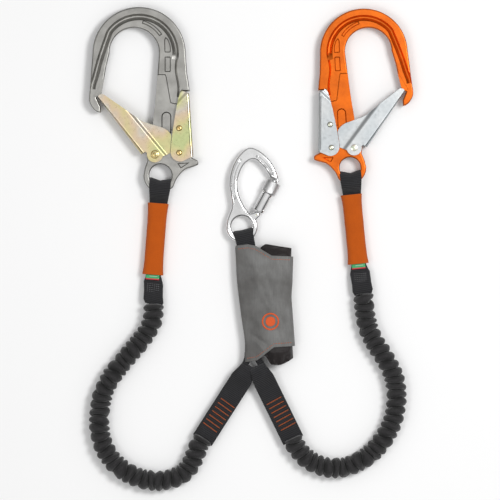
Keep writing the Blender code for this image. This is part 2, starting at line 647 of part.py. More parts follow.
def build_webbing():
    """The carabiner's loop, the ring that carries both leg straps, and the straps."""
    top_loop = sewn_loop("carabiner_loop", (-20.5, 55.0), (-29.8, 96.0), (19.0, CARABINER_HEIGHT), 8.0,
                         (17.6, 19.4), 14.0, 17.0)
    finish(top_loop, BLACK_WEBBING, sharp=60)

    outer = [(-16.5, -62.0), (-16.5, -73.0), (-20.0, -79.4), (-37.0, -82.4, 2), (-41.6, -90.0, 3),
             (-16.9, -107.5, 3), (10.4, -93.0, 3), (5.4, -82.4, 2), (-3.0, -79.8), (-4.5, -73.0),
             (-4.5, -62.0)]
    inner = [(-18.5, -80.5), (-14.5, -80.5), (1.6, -85.0, 1), (5.6, -91.2, 1), (-16.5, -103.0),
             (-36.0, -89.4, 1), (-32.4, -84.4, 1)]
    ring = plate("leg_ring", [softened(outer), softened(inner)], 7.5, 20.5)
    finish(ring, BLACK_WEBBING)
    bevel(ring, 1.2, segments=1)

    for side, tail, tip in (("left", (-81.2, -179.4), (-23.3, -91.3)),
                            ("right", (35.8, -179.4), (-6.0, -91.3))):
        strap = sewn_loop(side + "_leg_strap", tail, tip, (LEG_HEIGHT, 14.0), 8.8,
                          (WEBBING_WIDTH, 17.5), 13.0, 14.0)
        finish(strap, BLACK_WEBBING, sharp=60)


# ---- arms -----------------------------------------------------------------------------------
def build_arm(side, eye, turn, grip_top, grip_bottom, leg):
    """From the hook's eye down: webbing loop, grip sleeve, label, end tab, elastic leg."""
    up = Vector((-math.sin(math.radians(turn)), math.cos(math.radians(turn))))
    tip = Vector(eye) - up * 5.6
    start, end = Vector(grip_top), Vector(grip_bottom)
    axis = (end - start).normalized()
    loop = sewn_loop(side + "_eye_loop", tuple(start + axis * 40), tuple(tip), (GRIP_HEIGHT, HOOK_HEIGHT),
                     8.6, (19.4, 19.6), 17.5, 14.0)
    finish(loop, BLACK_WEBBING, sharp=60)

    across = Vector((-axis.y, axis.x))
    rows = []
    for i in range(9):
        v = i / 8
        flare = abs(2 * v - 1) ** 4
        half_width, half_height = 12.7 + 1.6 * flare, 8.6 + 1.0 * flare
        row = []
        for j in range(16):
            a = 2 * math.pi * j / 16
            c, s = math.cos(a), math.sin(a)
            x = half_width * math.copysign(abs(c) ** 0.75, c)
            z = half_height * math.copysign(abs(s) ** 0.75, s)
            spot = start.lerp(end, v) + across * x
            row.append((spot.x, spot.y, GRIP_HEIGHT + z))
        rows.append(row)
    grip = grid_mesh(side + "_grip_sleeve", rows, ring=True)
    solidify(grip, 1.8, -1.0)
    finish(grip, ORANGE_FOAM, sharp=50)

    leg_start = Vector(leg[0])
    leg_axis = (Vector(leg[1]) - leg_start).normalized()
    tab_end = leg_start - leg_axis * GAP
    tab_start = end - axis * 10
    stations = []
    for i in range(7):
        v = i / 6
        spot = tab_start.lerp(tab_end, v)
        height = GRIP_HEIGHT - 1.0 + (LEG_HEIGHT - GRIP_HEIGHT + 1.0) * ease((v - 0.2) / 0.6)
        width = 20.0 + 7.0 * ease((v - 0.2) / 0.4)
        side_way = across.lerp(Vector((-leg_axis.y, leg_axis.x)), ease(v))
        stations.append(((spot.x, spot.y, height), (side_way.x, side_way.y, 0), width))
    finish(ribbon(side + "_end_tab", stations, 5.0), BLACK_WEBBING, sharp=60)

    label_stations = []
    for i in range(4):
        spot = end + axis * (-5.0 + 12.5 * i / 3)
        label_stations.append(((spot.x, spot.y, GRIP_HEIGHT + 4.2 + 1.5 * i / 3), (across.x, across.y, 0), 19.0))
    finish(ribbon(side + "_inspection_label", label_stations, 1.2), GREEN_LABEL, sharp=60)

    route = smooth_route([(x, y, LEG_HEIGHT) for x, y in leg], 15.0)
    cord = tube(side + "_elastic_leg", route, LEG_RADIUS, resolution=4)
    cord.data.materials.append(BLACK_WEBBING)
    parts.objects.link(cord)


build_hook("left", LEFT_EYE, 0.0, LEFT_SIZE, False, GREY_ALLOY, YELLOW_ZINC, RIVET_STEEL)
build_hook("right", RIGHT_EYE, RIGHT_TURN, RIGHT_SIZE, True, ORANGE_ALLOY, SILVER_ZINC, RIVET_STEEL)
build_carabiner()
build_absorber()
build_webbing()
build_arm("left", LEFT_EYE, 0.0, (-142.2, 131.4), (-149.4, 38.0), LEFT_LEG)
build_arm("right", RIGHT_EYE, RIGHT_TURN, (114.8, 142.9), (124.0, 52.4), RIGHT_LEG)
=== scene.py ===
"""Twin-leg shock absorbing lanyard: the visual model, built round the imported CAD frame.

Shapes are written in millimetres. A hook or the carabiner is built in its own millimetres, with
its origin in the middle of its webbing eye, and carried into the frame by its joints' places.
"""
import json
import math

import bmesh
import bpy
from mathutils import Matrix, Vector, noise


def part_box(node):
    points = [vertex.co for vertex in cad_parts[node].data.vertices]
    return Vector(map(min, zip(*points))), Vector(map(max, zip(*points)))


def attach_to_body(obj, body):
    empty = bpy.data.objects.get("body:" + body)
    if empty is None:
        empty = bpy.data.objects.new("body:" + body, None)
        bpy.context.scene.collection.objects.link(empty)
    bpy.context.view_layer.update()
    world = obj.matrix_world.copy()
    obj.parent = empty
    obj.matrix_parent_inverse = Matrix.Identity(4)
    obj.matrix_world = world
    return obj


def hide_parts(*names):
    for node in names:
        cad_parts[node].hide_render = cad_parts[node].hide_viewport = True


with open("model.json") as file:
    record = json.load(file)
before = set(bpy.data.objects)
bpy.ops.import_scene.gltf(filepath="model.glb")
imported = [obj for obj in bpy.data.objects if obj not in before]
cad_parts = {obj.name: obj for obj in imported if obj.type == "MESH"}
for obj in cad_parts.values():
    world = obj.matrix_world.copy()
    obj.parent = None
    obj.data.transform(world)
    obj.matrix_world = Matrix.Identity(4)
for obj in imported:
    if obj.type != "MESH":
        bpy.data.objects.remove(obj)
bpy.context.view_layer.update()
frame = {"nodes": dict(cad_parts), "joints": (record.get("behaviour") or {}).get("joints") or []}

MM = 0.001
JOINTS = {joint["name"]: joint for joint in frame["joints"]}
WORLD = Matrix.Scale(MM, 4)

# ---- camera ---------------------------------------------------------------------------------
VIEW_CENTER = (-0.020, 0.070)
VIEW_WIDTH = 0.6667
VIEW_HEIGHT = 6.0

camera = bpy.data.objects.new("camera", bpy.data.cameras.new("camera"))
bpy.context.scene.collection.objects.link(camera)
camera.location = (*VIEW_CENTER, VIEW_HEIGHT)
camera.data.sensor_width = 36.0
camera.data.lens = 36.0 * VIEW_HEIGHT / VIEW_WIDTH
camera.data.clip_end = 50.0
bpy.context.scene.camera = camera
bpy.context.scene.view_settings.view_transform = "Standard"

# ---- dimensions, millimetres ------------------------------------------------------------------
HOOK_HALF = 6.0                 # half thickness of the forged body
ARCH = (-27.7, 157.5)           # centre of the bend's outer circle, from the eye
BEND = (-34.0, 159.0)           # centre of its inner circle
GATE_PIVOT = (-7.0, 27.1)
LEVER_PIVOT = (24.2, 60.9)
LEVER_STOP = (24.2, 29.2)
GATE_OUTER = 8.4
LEVER_OUTER = 10.6
STEEL = 2.0

CARABINER_HALF = 5.5
CARABINER_GATE = (19.4, 15.4)
CARABINER_EYE = (-30.7, 101.3, 11.0)
GATE_LEAN = 62.1

LEG_HEIGHT = 13.8
LEG_DIAMETER = 26.8
LOBE_PITCH = 10.7
WEBBING = 2.5
RIB_PITCH = 2.4
GRIP_HEIGHT = 10.0
COVER_TOP = 38.0
PACK_MIDDLE = 5.0                # the tear webbing lies a little right of the cover's middle
PACK_WIDTH = 36.0

LEFT_LEG = [
    (-148.4, -1.5), (-148.4, -13.0), (-150.4, -26.0), (-156.2, -37.6), (-164.2, -48.8),
    (-173.4, -60.4), (-183.4, -72.2), (-193.2, -84.4), (-203.3, -97.0), (-211.6, -111.4),
    (-216.8, -125.6), (-219.4, -141.0), (-220.6, -156.8), (-219.6, -172.4), (-215.6, -188.0),
    (-208.0, -203.2), (-196.3, -216.6), (-182.3, -226.8), (-167.0, -233.4), (-152.5, -236.4),
    (-138.0, -237.0), (-122.8, -233.8), (-109.2, -227.2), (-99.6, -216.4), (-93.2, -203.6),
    (-88.6, -191.0), (-81.6, -180.0),
]
RIGHT_LEG = [
    (130.6, 12.0), (131.3, 3.0), (132.0, -6.2), (133.4, -16.6), (135.8, -28.0), (139.6, -39.8),
    (145.0, -51.0), (151.6, -61.4), (158.2, -71.6), (164.2, -82.2), (169.4, -93.0), (172.8, -104.0),
    (174.6, -115.0), (175.0, -126.4), (174.2, -138.0), (172.2, -149.4), (168.8, -160.2),
    (163.8, -171.0), (157.6, -181.4), (150.0, -191.0), (140.8, -200.4), (130.2, -208.4),
    (118.3, -214.6), (105.6, -218.8), (93.0, -220.2), (80.6, -218.8), (67.6, -214.4),
    (55.4, -207.0), (46.8, -198.6), (40.8, -190.2), (36.0, -180.0),
]


# ---- small maths ------------------------------------------------------------------------------
def ease(value):
    value = min(max(value, 0.0), 1.0)
    return (1 - math.cos(math.pi * value)) / 2


def along(table, value):
    """A value read from a short table of (place, value) pairs, straight between them."""
    for (a, low), (b, high) in zip(table, table[1:]):
        if value <= b:
            return low + (high - low) * max(value - a, 0.0) / (b - a)
    return table[-1][1]


def arc(center, radius, start, end, steps):
    turns = [math.radians(start + (end - start) * i / steps) for i in range(steps + 1)]
    return [(center[0] + radius * math.cos(a), center[1] + radius * math.sin(a)) for a in turns]


def smooth_route(points, spacing):
    """Points at an even spacing on a smooth curve through the route's own points."""
    ends = [2 * Vector(points[0]) - Vector(points[1]), 2 * Vector(points[-1]) - Vector(points[-2])]
    path = [ends[0]] + [Vector(p) for p in points] + [ends[1]]
    dense = []
    for a, b, c, d in zip(path, path[1:], path[2:], path[3:]):
        for i in range(20):
            t = i / 20
            dense.append(0.5 * (2 * b + (c - a) * t + (2 * a - 5 * b + 4 * c - d) * t ** 2
                                + (3 * b - a - 3 * c + d) * t ** 3))
    dense.append(Vector(points[-1]))
    lengths = [0.0]
    for a, b in zip(dense, dense[1:]):
        lengths.append(lengths[-1] + (b - a).length)
    count = max(round(lengths[-1] / spacing), 2)
    picked, k = [], 0
    for i in range(count + 1):
        while k < len(dense) - 2 and lengths[k + 1] < lengths[-1] * i / count:
            k += 1
        share = (lengths[-1] * i / count - lengths[k]) / (lengths[k + 1] - lengths[k])
        picked.append(dense[k].lerp(dense[k + 1], share))
    return picked


def flowing(points, spacing=1.6):
    return [tuple(p) for p in smooth_route(points, spacing)]


def rounded(outline, radius=2.0, steps=4):
    """A closed outline with every corner rounded."""
    made = []
    for i, corner in enumerate(outline):
        corner = Vector(corner)
        one = Vector(outline[i - 1]) - corner
        two = Vector(outline[(i + 1) % len(outline)]) - corner
        reach = min(radius, one.length * 0.45, two.length * 0.45)
        first, last = corner + one.normalized() * reach, corner + two.normalized() * reach
        for k in range(steps + 1):
            t = k / steps
            made.append(tuple(first * (1 - t) ** 2 + corner * 2 * t * (1 - t) + last * t ** 2))
    return made


# ---- mesh making ------------------------------------------------------------------------------
def show(name, mesh, look=None, space=None):
    """A finished piece: its mesh goes into the frame through space."""
    if space is not None:
        mesh.transform(space)
    mesh.name = name
    piece = bpy.data.objects.new(name, mesh)
    bpy.context.scene.collection.objects.link(piece)
    if look is not None:
        mesh.materials.clear()
        mesh.materials.append(look)
    return piece


def hidden(name, mesh):
    guide = bpy.data.objects.new(name, mesh)
    bpy.context.scene.collection.objects.link(guide)
    return guide


def baked(piece):
    """The piece's mesh with its modifiers applied; the piece itself is removed."""
    bpy.context.view_layer.update()
    seen = piece.evaluated_get(bpy.context.evaluated_depsgraph_get())
    mesh = bpy.data.meshes.new_from_object(seen)
    bpy.data.objects.remove(piece)
    return mesh


def plate(name, loops, low, high, rounding=0.0, turns=4):
    """A flat piece between two heights, its rims rounded: the first loop is its outline."""
    curve = bpy.data.curves.new(name, "CURVE")
    curve.dimensions = "2D"
    curve.fill_mode = "BOTH"
    curve.extrude = (high - low) / 2 - rounding
    curve.bevel_depth = rounding
    curve.bevel_resolution = turns
    curve.offset = -rounding
    for loop in loops:
        spline = curve.splines.new("POLY")
        spline.points.add(len(loop) - 1)
        for point, (x, y) in zip(spline.points, loop):
            point.co = (x, y, 0.0, 1.0)
        spline.use_cyclic_u = True
    mesh = baked(hidden(name, curve))
    shape = bmesh.new()
    shape.from_mesh(mesh)
    bmesh.ops.remove_doubles(shape, verts=shape.verts, dist=1e-3)
    bmesh.ops.translate(shape, verts=shape.verts, vec=(0, 0, (high + low) / 2))
    bmesh.ops.dissolve_limit(shape, angle_limit=0.002, verts=shape.verts, edges=shape.edges)
    bmesh.ops.recalc_face_normals(shape, faces=shape.faces)
    shape.to_mesh(mesh)
    shape.free()
    return mesh


def grid(name, rows, ring=False, caps=False):
    """A surface through rows of points; a ring closes each row, caps close its two ends."""
    width = len(rows[0])
    faces = []
    for i in range(len(rows) - 1):
        for j in range(width if ring else width - 1):
            k = (j + 1) % width
            faces.append((i * width + j, i * width + k, (i + 1) * width + k, (i + 1) * width + j))
    if caps:
        last = (len(rows) - 1) * width
        faces += [tuple(reversed(range(width))), tuple(range(last, last + width))]
    mesh = bpy.data.meshes.new(name)
    mesh.from_pydata([tuple(p) for row in rows for p in row], [], faces)
    shape = bmesh.new()
    shape.from_mesh(mesh)
    bmesh.ops.recalc_face_normals(shape, faces=shape.faces)
    shape.to_mesh(mesh)
    shape.free()
    mesh.shade_smooth()
    return mesh


def turned(name, profile, steps=64, ridges=0, depth=0.0, low=0.0, high=0.0):
    """Turned from (radius, height) points; ridges are straight flutes between two heights."""
    rows = []
    for radius, z in profile:
        row = []
        for j in range(steps):
            a = 2 * math.pi * j / steps
            r = radius
            if ridges and low < z < high:
                r -= depth * (0.5 - 0.5 * math.cos(a * ridges)) ** 0.8
            row.append((r * math.cos(a), r * math.sin(a), z))
        rows.append(row)
    mesh = grid(name, rows, ring=True, caps=True)
    mesh.set_sharp_from_angle(angle=math.radians(38))
    return mesh


def swept(name, path, section, top, fades=None):
    """A cutter drawn along a path: section is (distance to the right of travel, depth)."""
    rows = []
    for i, point in enumerate(path):
        here = Vector(point)
        tangent = (Vector(path[min(i + 1, len(path) - 1)]) - Vector(path[max(i - 1, 0)])).normalized()
        inward = Vector((tangent.y, -tangent.x))
        share = fades[i] if fades else 1.0
        row = []
        for reach, depth in section:
            spot = here + inward * reach
            z = top + (depth * share if depth < 0 else depth)
            row.append((spot.x, spot.y, z))
        rows.append(row)
    mesh = grid(name, rows, ring=True, caps=True)
    return mesh


def carve(mesh, cutters, width=0.4):
    """Cut pockets into a mesh and ease the edges that they leave."""
    body = hidden("body", mesh)
    tools = []
    for number, cutter in enumerate(cutters):
        tool = hidden(f"cutter_{number}", cutter)
        tools.append(tool)
        cut = body.modifiers.new(tool.name, "BOOLEAN")
        cut.object = tool
        cut.operation = "DIFFERENCE"
        cut.solver = "EXACT"
    if width:
        edge = body.modifiers.new("eased", "BEVEL")
        edge.width = width
        edge.segments = 2
        edge.limit_method = "ANGLE"
        edge.angle_limit = math.radians(32)
        edge.harden_normals = True
    normals = body.modifiers.new("normals", "WEIGHTED_NORMAL")
    normals.keep_sharp = True
    body.data.shade_smooth()
    made = baked(body)
    for tool in tools:
        bpy.data.objects.remove(tool)
    return made


def mirrored_pair(make):
    """The same cutter on the upper and on the lower face."""
    pair = []
    for sign in (1, -1):
        mesh = make()
        if sign < 0:
            mesh.transform(Matrix.Diagonal((1, 1, -1, 1)))
            mesh.flip_normals()
        pair.append(mesh)
    return pair


def pocket(outline, depth, half, radius=1.6, draft=1.2):
    """A forged pocket in both faces, with drafted walls."""
    loop = rounded(outline, radius)
    return mirrored_pair(lambda: plate("pocket", [loop], half - depth, half + 2.0 + draft, draft, 0))


# ---- materials ----------------------------------------------------------------------------------
class Look:
    """A procedural material. Sizes are metres on the object itself."""

    def __init__(self, name, roughness, metallic=0.0, **sockets):
        self.material = bpy.data.materials.new(name)
        self.material.use_nodes = True
        self.tree = self.material.node_tree
        self.shader = self.tree.nodes["Principled BSDF"]
        self.shader.inputs["Roughness"].default_value = roughness
        self.shader.inputs["Metallic"].default_value = metallic
        for key, value in sockets.items():
            self.shader.inputs[key.replace("_", " ")].default_value = value
        self.place = self.add("ShaderNodeTexCoord").outputs["Object"]

    def add(self, kind, **settings):
        node = self.tree.nodes.new(kind)
        for key, value in settings.items():
            setattr(node, key, value)
        return node

    def join(self, value, socket):
        if hasattr(value, "is_output"):
            self.tree.links.new(value, socket)
        else:
            socket.default_value = value

    def noise(self, size, detail=3.0, rough=0.55, stretch=(1, 1, 1), turn=0.0):
        mapping = self.add("ShaderNodeMapping")
        self.join(self.place, mapping.inputs["Vector"])
        mapping.inputs["Scale"].default_value = stretch
        mapping.inputs["Rotation"].default_value = (0, 0, math.radians(turn))
        made = self.add("ShaderNodeTexNoise")
        self.join(mapping.outputs[0], made.inputs["Vector"])
        made.inputs["Scale"].default_value = 1.0 / size
        made.inputs["Detail"].default_value = detail
        made.inputs["Roughness"].default_value = rough
        return made.outputs["Fac"]

    def cells(self, size):
        made = self.add("ShaderNodeTexVoronoi")
        self.join(self.place, made.inputs["Vector"])
        made.inputs["Scale"].default_value = 1.0 / size
        return made.outputs["Distance"]

    def wave(self, attribute, pitch, shift=0.0):
        """0 to 1 and back once every pitch, along a measured attribute of the mesh."""
        source = self.add("ShaderNodeAttribute", attribute_name=attribute).outputs["Fac"]
        turns = self.math("MULTIPLY_ADD", source, 2 * math.pi / pitch, shift)
        return self.math("MULTIPLY_ADD", self.math("SINE", turns), 0.5, 0.5)

    def math(self, operation, a, b=0.0, c=0.0):
        node = self.add("ShaderNodeMath", operation=operation)
        for value, socket in zip((a, b, c), node.inputs):
            self.join(value, socket)
        return node.outputs[0]

    def ramp(self, value, stops):
        node = self.add("ShaderNodeValToRGB")
        self.join(value, node.inputs["Fac"])
        elements = node.color_ramp.elements
        while len(elements) < len(stops):
            elements.new(0.5)
        for element, (place, color) in zip(elements, stops):
            element.position = place
            element.color = (*color, 1.0) if hasattr(color, "__len__") else (color, color, color, 1.0)
        return node.outputs["Color"]

    def mix(self, share, a, b, kind="MIX"):
        node = self.add("ShaderNodeMix", data_type="RGBA", blend_type=kind)
        self.join(share, node.inputs[0])
        for value, socket in ((a, node.inputs[6]), (b, node.inputs[7])):
            self.join((*value, 1.0) if isinstance(value, tuple) else value, socket)
        return node.outputs[2]

    def color(self, value):
        self.join(value, self.shader.inputs["Base Color"])
        return self

    def roughness(self, value):
        self.join(value, self.shader.inputs["Roughness"])
        return self

    def bump(self, *layers):
        """Layers are (height, distance in metres, strength), coarse to fine."""
        last = None
        for height, distance, strength in layers:
            node = self.add("ShaderNodeBump")
            node.inputs["Strength"].default_value = strength
            node.inputs["Distance"].default_value = distance
            self.join(height, node.inputs["Height"])
            if last is not None:
                self.join(last, node.inputs["Normal"])
            last = node.outputs["Normal"]
        self.join(last, self.shader.inputs["Normal"])
        return self


def metal(name, dark, light, roughness, metallic=1.0, grain=0.0006, patch=0.02, bump=0.25, **sockets):
    """Metal with a blasted grain and soft patches of handling wear."""
    look = Look(name, roughness, metallic, **sockets)
    patches = look.noise(patch, 4.0)
    tint = look.mix(look.ramp(patches, [(0.35, 0.0), (0.65, 1.0)]), dark, light)
    look.color(tint)
    look.roughness(look.math("MULTIPLY_ADD", look.noise(grain * 6, 3.0), 0.18, roughness - 0.09))
    look.bump((look.noise(grain, 2.0), grain * 0.25, bump))
    return look.material


def iridescent(name, stops, roughness, patch=0.030):
    """Passivated zinc plate: slow bands of tint, fine rolling lines and a few dull marks."""
    look = Look(name, roughness, 0.9, Coat_Weight=0.15)
    bands = look.noise(patch, 2.0, 0.4, (1.0, 0.55, 1.0), 20)
    tint = look.ramp(bands, stops)
    dull = look.ramp(look.noise(0.006, 5.0), [(0.58, 0.0), (0.75, 0.35)])
    look.color(look.mix(dull, tint, tuple(0.6 * c for c in stops[0][1])))
    look.roughness(look.math("MULTIPLY_ADD", look.noise(0.004, 3.0), 0.2, roughness - 0.1))
    look.bump((look.noise(0.0016, 2.0, 0.5, (1.0, 0.12, 1.0), 38), 0.00008, 0.25))
    return look.material


def webbing_look(name, dark, light, pitch=RIB_PITCH):
    """Woven webbing: cross ribs, yarns along them and a scatter of loose pale fibres."""
    look = Look(name, 0.82, 0.0, Sheen_Weight=0.25, Sheen_Roughness=0.5, Specular_IOR_Level=0.3)
    ribs = look.wave("run", pitch * MM)
    yarns = look.wave("side", 0.9 * MM)
    fibres = look.ramp(look.noise(0.0007, 4.0, 0.75), [(0.52, 0.0), (0.80, 1.0)])
    worn = look.ramp(look.noise(0.014, 3.0), [(0.45, 0.15), (0.75, 0.8)])
    base = look.mix(ribs, tuple(0.25 * c for c in dark), tuple(1.5 * c for c in dark))
    look.color(look.mix(look.math("MULTIPLY", fibres, worn), base, light))
    weave = look.math("MULTIPLY", ribs, look.math("MULTIPLY_ADD", yarns, 0.6, 0.4))
    look.bump((weave, 0.00022, 0.7), (look.noise(0.0005, 3.0), 0.0001, 0.5))
    return look.material


def sheath_look(name):
    """The elastic leg's ruched sheath: fine cross yarns; lobe tops get a painted highlight and the valleys
    between lobes get painted shade, near black.
    """
    look = Look(name, 0.78, 0.0, Sheen_Weight=0.3, Sheen_Roughness=0.45, Specular_IOR_Level=0.3)
    yarns = look.wave("run", 1.15 * MM)
    strands = look.wave("side", 1.3 * MM, 0.7)
    fibres = look.ramp(look.noise(0.0008, 4.0, 0.8), [(0.55, 0.0), (0.78, 1.0)])
    # lobe height share, raised to a power: it drives the painted highlight on lobe tops and the painted shade
    # in the valleys
    crest = look.math("POWER", look.add("ShaderNodeAttribute", attribute_name="crest").outputs["Fac"], 2.6)
    # pale fibres are real, but they are made paler on lobe tops: partly real fibres, partly painted highlight
    pale = look.math("MULTIPLY", fibres, look.math("MULTIPLY_ADD", crest, 0.55, 0.1))
    # painted shade: near black in the valleys, lighter on lobe tops
    base = look.mix(crest, (0.001, 0.001, 0.001), (0.021, 0.020, 0.021))
    look.color(look.mix(pale, base, (0.16, 0.155, 0.16)))
    look.bump((look.math("MULTIPLY", yarns, strands), 0.0003, 0.8), (look.noise(0.0006, 3.0), 0.0001, 0.5))
    return look.material


def cloth_look(name, dark, light, thread, roughness=0.85, patch=0.035, sheen=0.15, weave=0.5):
    """Plain-weave cloth: two sets of threads, thread-to-thread variation and soft soiling."""
    look = Look(name, roughness, 0.0, Sheen_Weight=sheen, Sheen_Roughness=0.4, Specular_IOR_Level=0.35)
    split = look.add("ShaderNodeSeparateXYZ")
    look.join(look.place, split.inputs[0])
    turns = 2 * math.pi / thread
    warp = look.math("SINE", look.math("MULTIPLY", split.outputs["X"], turns))
    weft = look.math("SINE", look.math("MULTIPLY", split.outputs["Y"], turns))
    checks = look.math("MULTIPLY_ADD", look.math("MULTIPLY", warp, weft), 0.5, 0.5)
    streaks = look.noise(0.0012, 2.0, 0.6, (1.0, 0.05, 1.0))
    tint = look.mix(look.ramp(look.noise(patch, 4.0), [(0.35, 0.0), (0.65, 1.0)]), dark, light)
    tint = look.mix(look.ramp(streaks, [(0.4, 0.0), (0.7, 0.25)]), tint, tuple(0.6 * c for c in dark))
    look.color(look.mix(look.math("MULTIPLY", checks, 0.35), tint, tuple(0.5 * c for c in dark)))
    look.bump((look.noise(0.010, 4.0), 0.0008, 0.25), (checks, 0.00012, weave))
    return look.material


def foam_look(name):
    """Napped foam: fine fuzz, small dents and slightly darker rubbed patches."""
    look = Look(name, 0.9, 0.0, Sheen_Weight=0.1, Sheen_Roughness=0.5, Specular_IOR_Level=0.2)
    tint = look.mix(look.noise(0.018, 4.0), (0.40, 0.066, 0.003), (0.52, 0.094, 0.004))
    fuzz = look.noise(0.0006, 4.0, 0.8)
    tint = look.mix(look.ramp(fuzz, [(0.40, 0.0), (0.72, 0.45)]), tint, (0.58, 0.125, 0.010))
    look.color(look.mix(look.ramp(look.cells(0.0016), [(0.0, 0.35), (0.35, 0.0)]), tint, (0.22, 0.04, 0.005)))
    look.bump((look.noise(0.004, 3.0), 0.0005, 0.3), (fuzz, 0.00025, 0.6))
    return look.material


def thread_look(name, dark, light):
    look = Look(name, 0.6, 0.0, Sheen_Weight=0.2, Specular_IOR_Level=0.4)
    look.color(look.mix(look.noise(0.0009, 3.0), dark, light))
    look.bump((look.noise(0.0004, 2.0, 0.6, (1, 3, 1), 45), 0.0001, 0.6))
    return look.material


def label_look(name):
    """A woven label: green ground, one plain pale stripe and a red edge."""
    look = Look(name, 0.55, 0.0, Coat_Weight=0.2, Specular_IOR_Level=0.5)
    place = look.add("ShaderNodeAttribute", attribute_name="run").outputs["Fac"]
    side = look.add("ShaderNodeAttribute", attribute_name="side").outputs["Fac"]
    ground = look.mix(look.noise(0.004, 3.0), (0.01, 0.26, 0.08), (0.03, 0.42, 0.14))

    def band(source, low, high):
        return look.math("MULTIPLY", look.math("GREATER_THAN", source, low * MM),
                         look.math("LESS_THAN", source, high * MM))

    stripe = look.math("MULTIPLY", band(place, 8.4, 9.5), band(side, -4.0, 6.4))
    tint = look.mix(stripe, ground, (0.30, 0.48, 0.34))
    tint = look.mix(band(place, 11.8, 14.0), tint, (0.45, 0.02, 0.03))
    look.color(tint)
    look.bump((look.wave("run", 0.5 * MM), 0.00006, 0.5))
    return look.material


GREY_ALLOY = metal("grey_blasted_alloy", (0.245, 0.240, 0.226), (0.32, 0.315, 0.298), 0.36, 1.0, 0.0005)
ORANGE_ALLOY = metal("orange_anodised_alloy", (0.50, 0.092, 0.002), (0.62, 0.120, 0.003), 0.33, 0.80, 0.0005,
                     bump=0.15, Coat_Weight=0.12, Coat_Roughness=0.2)
YELLOW_ZINC = iridescent("yellow_zinc_plate", [
    (0.30, (0.45, 0.49, 0.24)), (0.42, (0.55, 0.48, 0.25)), (0.52, (0.57, 0.45, 0.32)),
    (0.60, (0.52, 0.47, 0.40)), (0.70, (0.50, 0.50, 0.24))], 0.30)
SILVER_ZINC = iridescent("silver_zinc_plate", [
    (0.32, (0.38, 0.41, 0.425)), (0.50, (0.44, 0.46, 0.47)), (0.68, (0.49, 0.50, 0.50))], 0.32)
POLISHED = metal("polished_alloy", (0.70, 0.70, 0.70), (0.82, 0.82, 0.82), 0.17, 1.0, 0.0015, 0.03, 0.05)
KNURLED = metal("machined_alloy", (0.58, 0.58, 0.58), (0.66, 0.66, 0.66), 0.40, 1.0, 0.0008, 0.01, 0.1)
GOLD_RIVET = metal("gold_passivated_rivet", (0.50, 0.34, 0.12), (0.70, 0.55, 0.26), 0.26, 1.0, 0.0006, 0.004)
PALE_RIVET = metal("pale_passivated_rivet", (0.60, 0.50, 0.44), (0.54, 0.62, 0.48), 0.26, 1.0, 0.0006, 0.004)
SPRING_WIRE = metal("drawn_spring_wire", (0.25, 0.25, 0.26), (0.42, 0.42, 0.43), 0.30, 1.0, 0.0003, 0.003)
BLACK_WEBBING = webbing_look("black_ribbed_webbing", (0.016, 0.016, 0.018), (0.11, 0.11, 0.12))
SHEATH = sheath_look("ruched_black_sheath")
ORANGE_FOAM = foam_look("napped_orange_foam")
GREEN_LABEL = label_look("woven_green_label")
GREY_CLOTH = cloth_look("grey_plain_weave", (0.135, 0.132, 0.127), (0.225, 0.225, 0.220), 0.0011)
DARK_CLOTH = cloth_look("dark_gathered_nylon", (0.010, 0.007, 0.007), (0.022, 0.017, 0.017), 0.0008,
                        roughness=0.6, sheen=0.3, weave=0.3)
TEAR_CLOTH = cloth_look("folded_tear_webbing", (0.42, 0.40, 0.35), (0.55, 0.53, 0.46), 0.0016)
ORANGE_THREAD = thread_look("orange_thread", (0.36, 0.060, 0.005), (0.58, 0.120, 0.012))
GREY_THREAD = thread_look("grey_thread", (0.10, 0.10, 0.105), (0.26, 0.26, 0.27))
ORANGE_BADGE = thread_look("orange_embroidery", (0.56, 0.060, 0.003), (0.72, 0.105, 0.007))


# ---- fabric forms -------------------------------------------------------------------------------
def measured(mesh, **values):
    """Attach per-point measures, in metres, for the material to read."""
    for key, data in values.items():
        layer = mesh.attributes.new(key, "FLOAT", "POINT")
        layer.data.foreach_set("value", data)


def strap(name, stations, look, thickness=WEBBING, rib=0.24, pitch=RIB_PITCH, divisions=14, wobble=0.0):
    """Webbing: stations are (centre, direction across, width), close together."""
    rows, runs, sides = [], [], []
    run = 0.0
    for i, (center, across, width) in enumerate(stations):
        center, across = Vector(center), Vector(across).normalized()
        before, after = Vector(stations[max(i - 1, 0)][0]), Vector(stations[min(i + 1, len(stations) - 1)][0])
        if i:
            run += (center - before).length
        normal = across.cross((after - before).normalized()).normalized()
        lift = rib * math.cos(2 * math.pi * run / pitch)
        half = thickness / 2 - rib
        row = []
        for face in (1, -1):
            for j in range(divisions + 1):
                u = (2 * j / divisions - 1) * face
                edge = 1 - abs(u) ** 10 * 0.55
                sway = wobble * noise.noise(Vector((run / 9, u * 1.3 + face, width)))
                spot = center + across * (u * (width / 2 - 0.25 * (1 - edge) + 0.4 * rib * lift))
                spot = spot + normal * (face * (half * edge + lift) + sway)
                row.append(spot)
                runs.append(run * MM)
                sides.append(u * width / 2 * MM)
        rows.append(row)
    mesh = grid(name, rows, ring=True, caps=True)
    measured(mesh, run=runs, side=sides)
    return show(name, mesh, look, WORLD)


